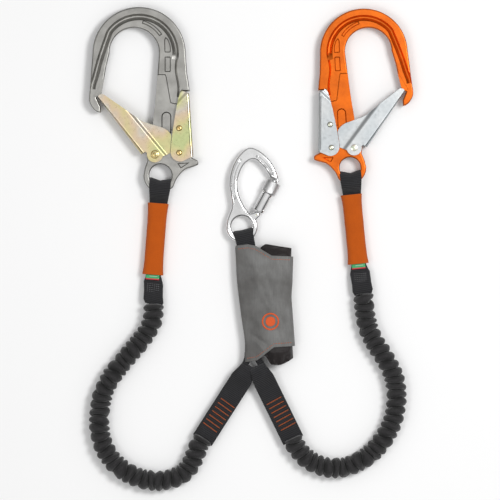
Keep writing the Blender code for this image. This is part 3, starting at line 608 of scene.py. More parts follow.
def stitches(name, dashes, radius, look):
    """Thread: every dash is a list of points, made into a small tube with closed ends."""
    verts, faces = [], []
    for dash in dashes:
        points = [Vector(p) for p in dash]
        start = len(verts)
        for i, point in enumerate(points):
            tangent = (points[min(i + 1, len(points) - 1)] - points[max(i - 1, 0)]).normalized()
            side = tangent.cross(Vector((0, 0, 1))).normalized()
            up = side.cross(tangent)
            thin = 0.6 if i in (0, len(points) - 1) else 1.0
            for k in range(6):
                a = 2 * math.pi * k / 6
                verts.append(tuple(point + (side * math.cos(a) + up * math.sin(a)) * radius * thin))
        for i in range(len(points) - 1):
            for k in range(6):
                n = (k + 1) % 6
                ring = start + i * 6
                faces.append((ring + k, ring + n, ring + 6 + n, ring + 6 + k))
        last = start + 6 * (len(points) - 1)
        faces += [tuple(reversed(range(start, start + 6))), tuple(range(last, last + 6))]
    mesh = bpy.data.meshes.new(name)
    mesh.from_pydata(verts, [], faces)
    shape = bmesh.new()
    shape.from_mesh(mesh)
    bmesh.ops.recalc_face_normals(shape, faces=shape.faces)
    shape.to_mesh(mesh)
    shape.free()
    mesh.shade_smooth()
    return show(name, mesh, look, WORLD)


def dashed(points, length, gap):
    """Cut a line of points into dashes of a given length with gaps between them."""
    line = smooth_route(points, 0.5)
    dashes, run = [], 0.0
    current = []
    for a, b in zip(line, line[1:]):
        if run % (length + gap) < length:
            current.append(a)
        elif current:
            dashes.append(current)
            current = []
        run += (b - a).length
    if len(current) > 1:
        dashes.append(current)
    return [dash for dash in dashes if len(dash) > 1]


def looped(name, tail, tip, heights, spread, width_at, open_length, ramp, notch, look):
    """One webbing strap folded round a bar and sewn back on itself; width_at takes the share run."""
    tail, tip = Vector(tail), Vector(tip)
    run = (tip - tail).length
    forward = (tip - tail) / run
    across = Vector((forward.y, -forward.x, 0.0))
    layer = (WEBBING + 0.5) / 2

    def station(s, side, turn=None):
        share = ease((s - (run - open_length - ramp)) / ramp)
        middle = heights[0] + (heights[1] - heights[0]) * share
        half = layer + (spread - layer) * share
        height = middle + side * half
        reach = s
        if turn is not None:
            reach = s + spread * math.cos(turn)
            height = heights[1] + spread * math.sin(turn)
        spot = tail + forward * reach
        return (spot.x, spot.y, height), across, width_at(min(reach / run, 1.0))

    straight = run - spread
    steps = int(straight / 0.4)
    stations = [station(straight * i / steps, -1) for i in range(steps)]
    turn_steps = int(math.pi * spread / 0.4)
    for i in range(turn_steps + 1):
        stations.append(station(straight, 0, math.pi * (i / turn_steps - 0.5)))
    stations += [station(straight * i / steps, 1) for i in reversed(range(steps))]
    piece = strap(name, stations, look, wobble=0.25)
    if notch:
        for vertex in piece.data.vertices:
            flat = vertex.co.to_2d() / MM - tail
            near = ease((flat.dot(forward) - run + 2.2 * spread) / (2.2 * spread))
            sidewise = abs(flat.dot(across.to_2d())) / (width_at(1.0) / 2)
            dip = notch * max(1 - sidewise, 0.0) * near
            vertex.co -= Vector((*(forward * dip), 0.0)) * MM
    return piece


def elastic_leg(name, points, seed):
    """A ruched sheath on an elastic core: uneven lobes round a smooth route."""
    center = smooth_route([(x, y, LEG_HEIGHT) for x, y in points], 0.75)
    around = 56
    crest_radius, valley = LEG_DIAMETER / 2 + 0.45, 8.6
    rows, runs, sides, crests = [], [], [], []
    run = 0.0
    count = len(center)
    for i, spot in enumerate(center):
        before, after = center[max(i - 1, 0)], center[min(i + 1, count - 1)]
        if i:
            run += (spot - before).length
        tangent = (after - before).normalized()
        side = Vector((tangent.y, -tangent.x, 0.0))
        a = 2.4 * noise.noise(Vector((run / 48, seed, 0.3))) * math.pi
        b = 2.2 * noise.noise(Vector((run / 19, seed, 7.7))) * math.pi
        pace = run / LOBE_PITCH + 0.22 * noise.noise(Vector((run / 30, seed, 3.1)))
        end = min(run, (count - 1) * 0.75 - run) if i not in (0, count - 1) else 0.0
        cap = math.sqrt(max(1 - (1 - min(end / 3.0, 1.0)) ** 2, 0.0))
        row = []
        for j in range(around):
            theta = 2 * math.pi * j / around
            phase = pace + 0.24 * math.sin(theta + a) + 0.055 * math.sin(2 * theta + b)
            hump = abs(math.sin(math.pi * phase)) ** 0.62
            number = math.floor(phase)
            size = crest_radius - 0.9 * abs(noise.noise(Vector((number * 1.7, seed, 1.3))))
            small = 0.32 * noise.noise(Vector((run / 2.6, theta * 2.2, seed))) * hump
            radius = (valley + (size - valley) * hump + small) * (0.62 + 0.38 * cap if end < 3 else 1.0)
            point = spot + (side * math.cos(theta) + Vector((0, 0, 1)) * math.sin(theta)) * radius
            point.z = max(point.z, 0.35)
            row.append(point)
            runs.append(run * MM)
            sides.append(theta * 12.5 * MM)
            # the hump share per point feeds the sheath's painted highlight on lobe tops and painted shade in
            # the valleys
            crests.append(hump)
        rows.append(row)
    mesh = grid(name, rows, ring=True, caps=True)
    # stored as an attribute for the sheath's painted light and shade
    measured(mesh, run=runs, side=sides, crest=crests)
    piece = show(name, mesh, SHEATH, WORLD)
    route = smooth_route([(x, y, LEG_HEIGHT) for x, y in points], 15.0)
    return piece


def attach(piece, body, slot, *nodes):
    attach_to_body(piece, body)
    if nodes:
        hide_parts(*nodes)
    return piece


# ---- cords first ---------------------------------------------------------------------------------
for side, leg, seed in (("left", LEFT_LEG, 2.0), ("right", RIGHT_LEG, 9.0)):
    attach(elastic_leg(side + "_ruched_leg", leg, seed), "absorber", "elastic_sheath", side + "_elastic_leg")


# ---- scaffold hooks -------------------------------------------------------------------------------
def pivot(name):
    return Vector(JOINTS[name]["pos_m"])


def hook_space(side):
    """Carries a hook's own millimetres into the frame: its two pivots say where, how big, which way up."""
    gate, lever = pivot(side + "_gate_open"), pivot(side + "_lever_squeeze")
    flipped = JOINTS[side + "_gate_open"]["axis"][2] > 0
    own = Vector(LEVER_PIVOT) - Vector(GATE_PIVOT)
    if flipped:
        own.x = -own.x
    real = (lever - gate).to_2d()
    size = real.length / own.length
    turn = math.atan2(real.y, real.x) - math.atan2(own.y, own.x)
    return (Matrix.Translation(gate) @ Matrix.Rotation(turn, 4, "Z")
            @ Matrix.Rotation(math.pi if flipped else 0.0, 4, "Y") @ Matrix.Scale(size, 4)
            @ Matrix.Translation((-GATE_PIVOT[0], -GATE_PIVOT[1], 0.0)))


def hook_outline():
    points = arc(ARCH, 60.3, 0, 180, 60)
    points += flowing([(-88.0, 157.5), (-89.6, 137.0), (-91.0, 117.0), (-92.5, 100.6), (-91.3, 92.8),
                       (-86.0, 85.0), (-80.9, 81.4)], 2.0)[1:]
    points += [(-77.4, 81.2), (-77.6, 89.1), (-82.9, 100.0)]
    points += arc(GATE_PIVOT, 105.4, 134.8, 131.2, 2)
    points += [(-73.1, 123.9), (-70.5, 139.5)]
    points += arc(BEND, 32.0, 182, -2, 60)
    points += flowing([(-2.0, 157.9), (-4.4, 123.9), (-7.0, 92.8), (-9.6, 69.5), (-11.7, 39.0)], 4.0)[1:]
    points += [(-18.4, 28.7), (-17.0, 18.8), (-20.3, 9.8)]
    points += arc((0, 0), 22.2, 180, 318, 46)
    points += flowing([(16.5, -14.9), (21.3, -4.0), (31.2, 6.9), (44.0, 11.8)], 2.0)[1:]
    points += rounded([(44.0, 11.8), (49.2, 13.8), (48.6, 19.4), (40.9, 22.6)], 4.0)[5:15]
    points += [(40.9, 22.6), (38.2, 28.0), (37.2, 40.0), (35.6, 56.0), (27.9, 72.0), (27.7, 108.9),
               (37.9, 108.9), (37.0, 116.2), (34.5, 131.7)]
    return points


def hook_body(side, look):
    half = HOOK_HALF
    loops = [hook_outline(), arc((0, 0), 14.5, 360, 5, 71)]
    mesh = plate(side + "_forging", loops, -half, half, 2.0)

    track = [(-92.4, 112.0), (-91.4, 118.6), (-88.0, 129.3), (-81.6, 152.6), (-71.0, 183.7)]
    track = flowing(track + arc(ARCH, 51.5, 142, 100, 5), 2.0) + arc(ARCH, 51.5, 98, -2, 48)
    track += [(23.6, 153.5), (23.3, 151.2), (22.9, 149.0)]
    fades = [1.0] * (len(track) - 7) + [0.97, 0.92, 0.82, 0.66, 0.46, 0.25, 0.08]
    groove = [(-0.4, 0.8), (0.2, -0.6), (2.6, -3.5), (4.2, -3.6), (8.4, -0.02), (8.8, 0.8)]
    line = flowing([(21.0, 150.0), (19.9, 136.1), (23.3, 114.7), (22.4, 101.1)], 2.0)
    crease = [(-1.9, 0.6), (-0.2, -1.6), (2.1, 0.6)]
    cutters = mirrored_pair(lambda: swept("groove", track, groove, half, fades))
    cutters += mirrored_pair(lambda: swept("crease", line, crease, half))
    cutters += pocket([(5.2, 158.9), (13.2, 158.9), (13.2, 167.2), (10.2, 175.9), (6.6, 179.3),
                       (4.7, 175.0)], 1.7, half)
    cutters += pocket([(5.4, 133.7), (13.2, 133.7), (13.2, 153.6), (5.4, 153.6)], 1.8, half)
    ring = arc(BEND, 43.2, 75, 33, 20) + arc(BEND, 38.6, 33, 75, 20)
    cutters += mirrored_pair(lambda: plate("arc_pocket", [ring], half - 1.3, half + 3.2, 1.2, 0))
    cutters += pocket([(-13.0, 130.7), (6.7, 130.7), (8.0, 126.4), (13.6, 94.3), (23.3, 92.3),
                       (23.3, 58.3), (-15.0, 58.3)], 1.3, half, 1.0, 1.0)
    slot = arc((7.6, 76.0), 6.4, 180, 0, 12) + [(14.0, 54.0), (1.2, 54.0)]
    cutters += mirrored_pair(lambda: plate("slot", [slot], half - 3.4, half + 3.4, 1.4, 0))
    cutters += pocket([(-86.3, 102.6), (-72.6, 128.6), (-64.0, 124.0), (-66.0, 99.0)], 1.45, half, 0.5, 0.0)
    cutters += pocket([(21.3, 15.8), (26.3, 8.8), (38.1, 16.7)], 1.8, half, 1.6)
    mesh = carve(mesh, cutters, 0.45)
    return show(side + "_forged_hook", mesh, look, hook_space(side))


def folded_sheet(name, outline, holes, outer, hollow, web, bend, joggle, rise, extra, look, space):
    """A channel of sheet steel: two cheeks, a web with bent corners and a joggle across the cheeks."""

    def with_bent_web(mesh, ends, radius):
        shape = bmesh.new()
        shape.from_mesh(mesh)
        edges = [e for e in shape.edges if e.calc_length() > 20 and all(
            min((v.co.to_2d() - Vector(end)).length for end in ends) < 0.6 for v in e.verts)
            and abs(e.verts[0].co.z - e.verts[1].co.z) < 0.1]
        bmesh.ops.bevel(shape, geom=edges, offset=radius, segments=5, profile=0.5, affect="EDGES")
        shape.to_mesh(mesh)
        shape.free()
        return mesh

    mesh = with_bent_web(plate(name, [outline] + holes, -outer, outer), web, bend)
    inner = outer - STEEL
    core = with_bent_web(plate(name, [hollow], -inner, inner), hollow[:2], bend - STEEL * 0.8)
    mesh = carve(mesh, [core] + extra, 0.0)

    start, end = Vector(joggle[0]), Vector(joggle[1])
    normal = Vector((start.y - end.y, end.x - start.x)).normalized()
    shape = bmesh.new()
    shape.from_mesh(mesh)
    for offset in (-3.0, -1.5, 0.0, 1.5, 3.0):
        spot = start + normal * offset
        bmesh.ops.bisect_plane(shape, geom=shape.verts[:] + shape.edges[:] + shape.faces[:],
                               plane_co=(*spot, 0), plane_no=(*normal, 0))
    for vertex in shape.verts:
        away = (vertex.co.to_2d() - start).dot(normal)
        vertex.co.z += math.copysign(rise * ease((away + 3.0) / 6.0), vertex.co.z)
    shape.to_mesh(mesh)
    shape.free()
    mesh = carve(mesh, [], 0.35)
    return show(name, mesh, look, space)


def gate_sheet(side, look):
    web_top, web_end = Vector((-80.9, 100.6)), Vector((-24.9, 27.2))
    nose = rounded([tuple(web_top), (-79.4, 104.2), (-74.8, 105.5), (-48.1, 87.2)], 2.0)
    outline = [tuple(web_top)] + nose[5:15]
    outline += flowing([(-48.1, 87.2), (-36.0, 78.3), (-23.3, 69.9), (-9.4, 65.3), (3.0, 61.6)], 3.0)
    outline += rounded([(3.0, 61.6), (9.6, 57.8), (14.4, 52.0), (13.4, 40.0)], 4.0)[5:15]
    outline += [(12.4, 28.7)]
    outline += arc(GATE_PIVOT, 10.4, -15, -190, 24) + [(-19.3, 30.6), tuple(web_end)]
    direction = (web_end - web_top).normalized()
    inward = Vector((-direction.y, direction.x)) * STEEL
    hollow = [tuple(web_top + inward - direction * 30), tuple(web_end + inward + direction * 30),
              (60, 0), (60, 140), (-60, 140)]
    return folded_sheet(side + "_pressed_gate", outline, [], GATE_OUTER, hollow,
                        [tuple(web_top), tuple(web_end)], 4.6, [(5.6, 27.5), (-45.5, 88.8)], 2.3, [], look,
                        hook_space(side))


def lever_sheet(side, look):
    top, foot = (37.2, 105.8), (42.5, 24.8)
    outline = flowing([(26.6, 110.0), (21.8, 93.2), (16.3, 60.4), (13.3, 34.6)], 5.0)
    outline += arc((25.6, 30.2), 12.4, 180, 285, 24) + [foot, top]
    hollow = [(41.3, 10.0), (33.8, 124.6), (0, 124), (0, 10)]
    slit = [(34.2, 101.0), (38.7, 27.0), (39.6, 27.0), (35.1, 101.0)]
    cuts = mirrored_pair(lambda: plate("slit", [slit[::-1]], LEVER_OUTER - STEEL - 1, LEVER_OUTER + 1))
    return folded_sheet(side + "_pressed_lever", outline, [], LEVER_OUTER, hollow, [foot, top], 2.6,
                        [(21.4, 93.3), (35.0, 107.9)], -1.9, cuts, look, hook_space(side))


def rivet(side, name, place, radius, head, cheek, tall, ringed, look, body):
    """Peened head above, domed head below, shank between them."""
    seat = cheek + 0.25
    if ringed:
        top = [(0.02, seat + tall * 0.75), (head * 0.16, seat + tall * 0.78), (head * 0.26, seat + tall),
               (head * 0.40, seat + tall), (head * 0.50, seat + tall * 0.80),
               (head * 0.60, seat + tall * 0.78),
               (head * 0.68, seat + tall * 0.95), (head * 0.84, seat + tall * 0.86),
               (head * 0.95, seat + tall * 0.55), (head, seat + tall * 0.2), (head, seat)]
    else:
        top = [(0.02, seat + tall * 0.62), (head * 0.25, seat + tall * 0.66), (head * 0.36, seat + tall),
               (head * 0.62, seat + tall * 0.94), (head * 0.85, seat + tall * 0.66),
               (head * 0.97, seat + tall * 0.3), (head, seat)]
    dome = [(head, -seat), (head, -seat - tall * 0.2), (head * 0.93, -seat - tall * 0.5),
            (head * 0.75, -seat - tall * 0.8), (head * 0.42, -seat - tall * 0.97), (0.02, -seat - tall)]
    mesh = turned(name, top + [(radius, seat), (radius, -seat)] + dome, 48)
    space = hook_space(side) @ Matrix.Translation((*place, 0.0))
    attach(show(f"{side}_{name}_head", mesh, look, space), body, "rivet_steel", f"{side}_{name}")


for side, forging, sheet, rivets, alloy, zinc in (
        ("left", GREY_ALLOY, YELLOW_ZINC, GOLD_RIVET, "grey_alloy", "yellow_zinc"),
        ("right", ORANGE_ALLOY, SILVER_ZINC, PALE_RIVET, "orange_alloy", "silver_zinc")):
    attach(hook_body(side, forging), side + "_hook", alloy, side + "_hook_body")
    attach(gate_sheet(side, sheet), side + "_gate", zinc, side + "_gate")
    attach(lever_sheet(side, sheet), side + "_lever", zinc, side + "_lock_lever")
    rivet(side, "gate_rivet", GATE_PIVOT, 3.0, 6.6, GATE_OUTER, 2.5, True, rivets, side + "_hook")
    rivet(side, "lever_rivet", LEVER_PIVOT, 2.3, 3.8, LEVER_OUTER, 1.5, False, rivets, side + "_hook")
    rivet(side, "lever_stop_pin", LEVER_STOP, 2.3, 3.8, LEVER_OUTER, 1.5, False, rivets, side + "_lever")

# ---- carabiner ------------------------------------------------------------------------------------
CARABINER = Matrix.Translation(Vector(CARABINER_EYE) * MM) @ WORLD
GATE_AXIS = (CARABINER @ Matrix.Translation((*CARABINER_GATE, 0.0))
             @ Matrix.Rotation(math.radians(GATE_LEAN + 90), 4, "Z") @ Matrix.Rotation(math.pi / 2, 4, "X"))


def carabiner_body():
    outer = arc((0, 0), 21.4, 25, -172, 64)
    outer += flowing([(-21.2, -3.0), (-19.6, 9.5), (-13.6, 27.0), (-15.4, 43.0), (-17.2, 58.0), (-14.0, 76.0),
                      (-5.2, 93.5), (9.5, 105.4), (26.0, 99.2), (41.0, 83.0), (50.4, 60.4)], 1.6)[1:]
    lean = Vector((math.cos(math.radians(GATE_LEAN)), math.sin(math.radians(GATE_LEAN))))
    across = Vector((lean.y, -lean.x))
    nose = [tuple(Vector(CARABINER_GATE) + lean * 53.0 + across * offset) for offset in (5.6, -7.2)]
    inner = flowing([(29.9, 77.9), (23.6, 84.2), (18.0, 88.6), (12.0, 88.6), (6.0, 85.0), (1.6, 80.0),
                     (-2.4, 72.0), (-5.2, 62.0), (-5.6, 52.0), (-3.6, 42.0), (0.6, 31.6), (6.0, 22.6),
                     (11.0, 17.6)], 1.6)
    lug = [(14.0, 18.4)] + arc(CARABINER_GATE, 5.0, 135, -30, 16)
    mesh = plate("carabiner_forging", [outer + nose + inner + lug, arc((0, 0), 14.0, 360, 5, 71)],
                 -CARABINER_HALF, CARABINER_HALF, 3.2)
    half = CARABINER_HALF
    spine = flowing([(-8.6, 36.0), (-11.0, 46.0), (-11.9, 56.0), (-11.2, 66.0), (-9.2, 74.0), (-5.8, 82.0),
                     (-1.0, 90.0)], 1.6)
    ends = [0.1, 0.5, 0.85] + [1.0] * (len(spine) - 6) + [0.85, 0.5, 0.1]
    arm = flowing([(18.6, 93.6), (26.0, 88.2), (32.4, 81.4), (37.6, 74.4), (40.4, 68.0)], 1.6)
    arm_ends = [0.1, 0.6] + [1.0] * (len(arm) - 4) + [0.6, 0.1]
    channel = [(-3.2, 1.0), (-1.2, -1.7), (1.0, -1.7), (2.6, 1.0)]
    cutters = mirrored_pair(lambda: swept("spine", spine, channel, half, ends))
    cutters += mirrored_pair(lambda: swept("arm", arm, [(-2.7, 1.0), (-0.9, -1.7), (0.9, -1.7), (2.7, 1.0)],
                                           half, arm_ends))
    cutters.append(plate("lug_slot", [arc(CARABINER_GATE, 7.0, 0, 345, 46)], -3.0, 3.0))
    mesh = carve(mesh, cutters, 0.3)
    return show("carabiner_forging", mesh, POLISHED, CARABINER)


attach(carabiner_body(), "carabiner", "polished_alloy", "carabiner_body")

pin_profile = [(0.02, 5.75), (1.0, 5.7), (1.6, 5.3), (1.6, -5.3), (1.0, -5.7), (0.02, -5.75)]
pin = turned("carabiner_pin", pin_profile, 32)
attach(show("carabiner_hinge_pin", pin, PALE_RIVET, CARABINER @ Matrix.Translation((*CARABINER_GATE, 0.0))),
       "carabiner", "rivet_steel", "carabiner_gate_pin")

bar = plate("gate_tongue", [rounded([(-4.4, -4.4), (4.4, -4.4), (4.4, 7.5), (-4.4, 7.5)][::-1], 4.3, 8)],
            -2.7, 2.7, 0.4)
bar.transform(Matrix.Rotation(math.pi / 2, 4, "X"))
tube_profile = [(0.02, 51.9), (3.6, 51.9), (4.6, 51.5), (5.0, 50.8), (5.0, 6.6), (4.6, 6.0), (0.02, 6.0)]
tube_mesh = turned("gate_tube", tube_profile, 64)
nose_cut = plate("nose_cut", [[(-1.8, 46), (1.8, 46), (1.8, 60), (-1.8, 60)]], -8, 8)
nose_cut.transform(Matrix.Rotation(math.pi / 2, 4, "Z") @ Matrix.Rotation(math.pi / 2, 4, "X"))
tube_mesh = carve(tube_mesh, [nose_cut], 0.25)
gate_bar = bmesh.new()
gate_bar.from_mesh(tube_mesh)
gate_bar.from_mesh(bar)
gate_mesh = bpy.data.meshes.new("gate_bar")
gate_bar.to_mesh(gate_mesh)
gate_bar.free()
attach(show("carabiner_gate_bar", gate_mesh, POLISHED, GATE_AXIS), "carabiner_gate", "polished_alloy",
       "carabiner_gate")

barrel_profile = [(5.4, 32.0), (7.5, 32.0), (7.9, 31.6), (7.9, 6.0), (7.5, 5.4), (5.4, 5.3)]
barrel = turned("barrel", barrel_profile, 96)
slots = []
for angle in (35, 125, 215, 305):
    window = plate("window", [rounded([(-1.6, 9), (1.6, 9), (1.6, 29), (-1.6, 29)], 1.5)], 6.9, 9.5)
    window.transform(Matrix.Rotation(math.radians(angle), 4, "Z") @ Matrix.Rotation(math.pi / 2, 4, "X"))
    slots.append(window)
barrel = carve(barrel, slots, 0.25)
attach(show("carabiner_fluted_barrel", barrel, POLISHED, GATE_AXIS), "carabiner_sleeve", "polished_alloy",
       "carabiner_sleeve_barrel")

collar_profile = [(5.4, 49.6), (8.8, 49.6), (9.5, 49.3), (9.9, 48.8), (9.9, 47.6), (9.9, 47.2)]
collar_profile += [(9.9, 34.8), (9.9, 34.4), (9.9, 33.2), (9.5, 32.6), (8.8, 32.3), (5.4, 32.3)]
collar = turned("collar", collar_profile, 320, 53, 0.16, 34.6, 47.4)
attach(show("carabiner_knurled_collar", collar, KNURLED, GATE_AXIS), "carabiner_sleeve", "polished_alloy",
       "carabiner_lock_collar")

# ---- absorber ---------------------------------------------------------------------------------------
COVER = dict(
    left=[(0, -39.7), (0.3, -37.6), (0.62, -31.5), (0.82, -26.6), (1, -27.2)],
    right=[(0, 37.6), (0.3, 36.6), (0.45, 35.2), (0.65, 37.0), (1, 40.0)],
    top=[(0, 75.2), (0.21, 77.2), (0.34, 75.3), (0.63, 62.1), (1, 60.9)],
    bottom=[(0, -78.9), (0.24, -76.0), (0.58, -58.7), (1, -56.9)])
POUCH = dict(
    left=[(0, -36.6), (0.3, -34.4), (0.62, -28.4), (0.82, -23.6), (1, -23.8)],
    right=[(0, 35.2), (0.3, 34.0), (0.45, 32.6), (0.65, 34.4), (1, 37.6)],
    top=[(0, 62.0), (0.28, 63.0), (0.50, 77.4), (1, 72.3)],
    bottom=[(0, -66.0), (0.40, -69.5), (0.50, -81.4), (0.74, -82.4), (0.93, -77.0), (1, -73.0)])
# each fold: from, to, half width, how far it stands up (or sinks)
FOLDS = [
    ((-12, 30), (6, -6), 4.5, 1.6), ((2, 33), (10, 2), 6.0, -2.4), ((20, 45), (17, 12), 4.5, 1.4),
    ((14, 62), (32, 22), 5.0, 1.2), ((-30, 48), (-5, 42), 3.6, -1.0), ((-34, 38), (-14, 44), 3.6, 0.9),
    ((-19, -42), (2, -56), 3.4, -1.8), ((-16, -48), (-2, -62), 3.2, 1.3), ((8, -6), (9, -14), 4.5, 1.0),
    ((22, -20), (24, -52), 5.0, 0.9), ((16, -36), (19, -46), 4.0, -1.2), ((-30, 10), (-22, -30), 4.0, 0.8),
    ((30, 30), (30, -30), 4.5, -0.8), ((-24, 66), (-10, 40), 5.0, 0.9),
]


def smoothed(table, value, reach=0.05):
    return sum(along(table, value + reach * k / 3) for k in range(-3, 4)) / 7


def fold_height(x, y):
    total = 0.0
    for start, end, width, rise in FOLDS:
        start, end = Vector(start), Vector(end)
        line = end - start
        share = min(max((Vector((x, y)) - start).dot(line) / line.length_squared, 0.0), 1.0)
        away = (Vector((x, y)) - start - line * share).length
        fade = 0.45 + 0.55 * math.sin(math.pi * (0.15 + 0.7 * share))
        total += 1.5 * rise * math.exp(-(away / width) ** 2) * fade
    return total


def cover_crown(share):
    """Height of the cover's upper side: the left third slopes down to its edge."""
    left = 0.42 + 0.58 * ease(share / 0.44) if share < 0.44 else 1.0
    right = 0.74 + 0.26 * ease((1 - share) / 0.40) if share > 0.60 else 1.0
    edge = (1 - abs(2 * share - 1) ** 9) ** 0.5
    return left * right * edge


def cover_point(share, v, lift=0.0):
    """Upper side of the cover: share across it, v from its upper mouth to its lower one."""
    x_left, x_right = smoothed(COVER["left"], v), smoothed(COVER["right"], v)
    x = x_left + (x_right - x_left) * share
    upper, lower = along(COVER["top"], share), along(COVER["bottom"], share)
    y = upper + (lower - upper) * v
    crown = cover_crown(share)
    middle = 15.0
    z = middle + (COVER_TOP - 1.6 - middle) * crown
    z += fold_height(x, y) * min(crown * 1.2, 1.0)
    z += 0.5 * noise.noise(Vector((x / 14, y / 14, 0.0))) * crown
    pull = math.exp(-(v / 0.045) ** 2) + math.exp(-((1 - v) / 0.045) ** 2)
    z -= 0.9 * pull * crown
    return Vector((x, y, z + lift))


def cover_place(x, y):
    """Share across the cover and along it, over a point of the floor."""
    share, v = 0.5, 0.5
    for _ in range(4):
        x_left, x_right = smoothed(COVER["left"], v), smoothed(COVER["right"], v)
        share = min(max((x - x_left) / (x_right - x_left), 0.0), 1.0)
        upper, lower = along(COVER["top"], share), along(COVER["bottom"], share)
        v = (y - upper) / (lower - upper)
    return share, v


def cover_mesh():
    """The sleeve's skin, out over its upper side, back under, with a folded hem at both mouths."""
    across, lengthwise, wall = 96, 110, 1.4
    outer = []
    for i in range(lengthwise + 1):
        v = i / lengthwise
        row = []
        for j in range(across + 1):
            share = 0.5 - 0.5 * math.cos(math.pi * j / across)
            row.append(cover_point(share, v))
        for j in range(1, across):
            share = 0.5 + 0.5 * math.cos(math.pi * j / across)
            top = cover_point(share, v)
            depth = (1 - abs(2 * share - 1) ** 5) ** 0.6
            top.z = 15.0 - 14.6 * depth
            row.append(top)
        outer.append(row)

    def inset(row, amount):
        middle = sum(row, Vector()) / len(row)
        made = []
        for point in row:
            away = point - middle
            away.y = 0.0
            made.append(point - away.normalized() * amount)
        return made

    first, last = outer[0], outer[-1]
    lip_top = [[p + Vector((0, 0.5, 0)) for p in inset(first, 0.5)], inset(first, wall)]
    lip_bottom = [[p - Vector((0, 0.5, 0)) for p in inset(last, 0.5)], inset(last, wall)]
    deep_top = [[p - Vector((0, 22.0, 0)) for p in inset(first, wall + 1.5)]]
    deep_bottom = [[p + Vector((0, 18.0, 0)) for p in inset(last, wall + 1.5)]]
    rows = deep_top + lip_top[::-1] + outer + lip_bottom + deep_bottom
    return grid("cover", rows, ring=True)


def pouch_mesh():
    """Gathered pouch inside the cover, closed at both ends, with puckers towards its mouths."""
    across, lengthwise = 110, 120
    rows = []
    for i in range(lengthwise + 1):
        v = i / lengthwise
        top_end, bottom_end = ease(1 - v / 0.10), ease(1 - (1 - v) / 0.12)
        row = []
        for j in range(2 * across):
            share = 0.5 - 0.5 * math.cos(math.pi * j / across)
            upper_side = j < across
            x_left, x_right = smoothed(POUCH["left"], v), smoothed(POUCH["right"], v)
            x = x_left + (x_right - x_left) * share
            upper, lower = smoothed(POUCH["top"], share), smoothed(POUCH["bottom"], share)
            y = upper + (lower - upper) * v
            low = 2.4 + 8.6 * top_end + 2.4 * bottom_end
            high = 34.0 - 8.0 * top_end - 9.0 * bottom_end
            depth = (1 - abs(2 * share - 1) ** 4) ** 0.6
            middle = (low + high) / 2
            reach = (high - middle) * depth
            crease = 0.0
            if bottom_end > 0:
                wander = 1.5 * noise.noise(Vector((x / 8, y / 8, 2.0)))
                crease = 2.0 * bottom_end * math.sin(x * 0.62 + wander)
                crease += 1.6 * bottom_end * noise.noise(Vector((x / 5, y / 4, 5.0)))
            if top_end > 0:
                crease += 0.7 * top_end * noise.noise(Vector((x / 9, y / 3, 9.0)))
            z = middle + (reach + crease * depth) * (1 if upper_side else -1)
            share_over, v_over = cover_place(x, y)
            if upper_side and -0.05 < v_over < 1.05:
                z = min(z, cover_point(min(max(share_over, 0.02), 0.98), min(max(v_over, 0), 1)).z - 2.6)
            row.append(Vector((x, y, max(z, 0.8))))
        rows.append(row)
    ends = []
    for row, direction in ((rows[0], 1), (rows[-1], -1)):
        middle = sum(row, Vector()) / len(row)
        extra = []
        for share, push in ((0.30, 0.9), (0.62, 1.1), (0.90, 0.2)):
            extra.append([p.lerp(Vector((p.x * 0.6 + middle.x * 0.4, p.y, middle.z)), share)
                          + Vector((0, direction * push, 0)) for p in row])
        ends.append(extra)
    rows = ends[0][::-1] + rows + ends[1]
    return grid("pouch", rows, ring=True, caps=True)


cover = show("absorber_cloth_cover", cover_mesh(), GREY_CLOTH, WORLD)
attach(cover, "absorber", "grey_fabric", "absorber_cover")
pouch = show("absorber_gathered_pouch", pouch_mesh(), DARK_CLOTH, WORLD)
attach(pouch, "absorber", "dark_fabric", "inner_pouch")

hem = []
for inset_mm, at_top in ((4.2, True), (4.4, False)):
    points = []
    for j in range(4, 97):
        share = 0.012 + 0.976 * j / 100
        length = along(COVER["top"], share) - along(COVER["bottom"], share)
        v = inset_mm / length if at_top else 1 - inset_mm / length
        points.append(cover_point(share, v, 0.12))
    hem += dashed(points, 2.3, 1.1)
attach(stitches("cover_hem_stitches", hem, 0.42, ORANGE_THREAD), "absorber", "orange_print")

badge_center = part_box("badge")
badge_spot = (badge_center[0] + badge_center[1]) / 2 / MM
ring_rows, disc_rows = [], []
for i in range(72):
    a = 2 * math.pi * i / 72
    row = []
    for k in range(12):
        t = 2 * math.pi * k / 12
        r = 10.5 + 1.05 * math.cos(t)
        row.append((badge_spot.x + r * math.cos(a), badge_spot.y + r * math.sin(a), 0.65 * math.sin(t)))
    ring_rows.append(row)
ring_rows.append(ring_rows[0])
badge_ring = grid("badge_ring", ring_rows, ring=True)
disc_profile = [(0.05, 0.75), (4.6, 0.75), (6.0, 0.6), (6.5, 0.1), (6.5, -0.5), (0.05, -0.5)]
disc = turned("badge_disc", disc_profile, 64)
disc.transform(Matrix.Translation((badge_spot.x, badge_spot.y, 0)))
joined = bmesh.new()
joined.from_mesh(badge_ring)
joined.from_mesh(disc)
bmesh.ops.remove_doubles(joined, verts=joined.verts, dist=1e-4)
badge_mesh = bpy.data.meshes.new("badge")
joined.to_mesh(badge_mesh)
joined.free()


def cover_height(x, y):
    return cover_point(*cover_place(x, y)).z


for vertex in badge_mesh.vertices:
    vertex.co.z += cover_height(vertex.co.x, vertex.co.y) + 0.35
badge_mesh.shade_smooth()
attach(show("round_badge", badge_mesh, ORANGE_BADGE, WORLD), "absorber", "orange_print", "badge")

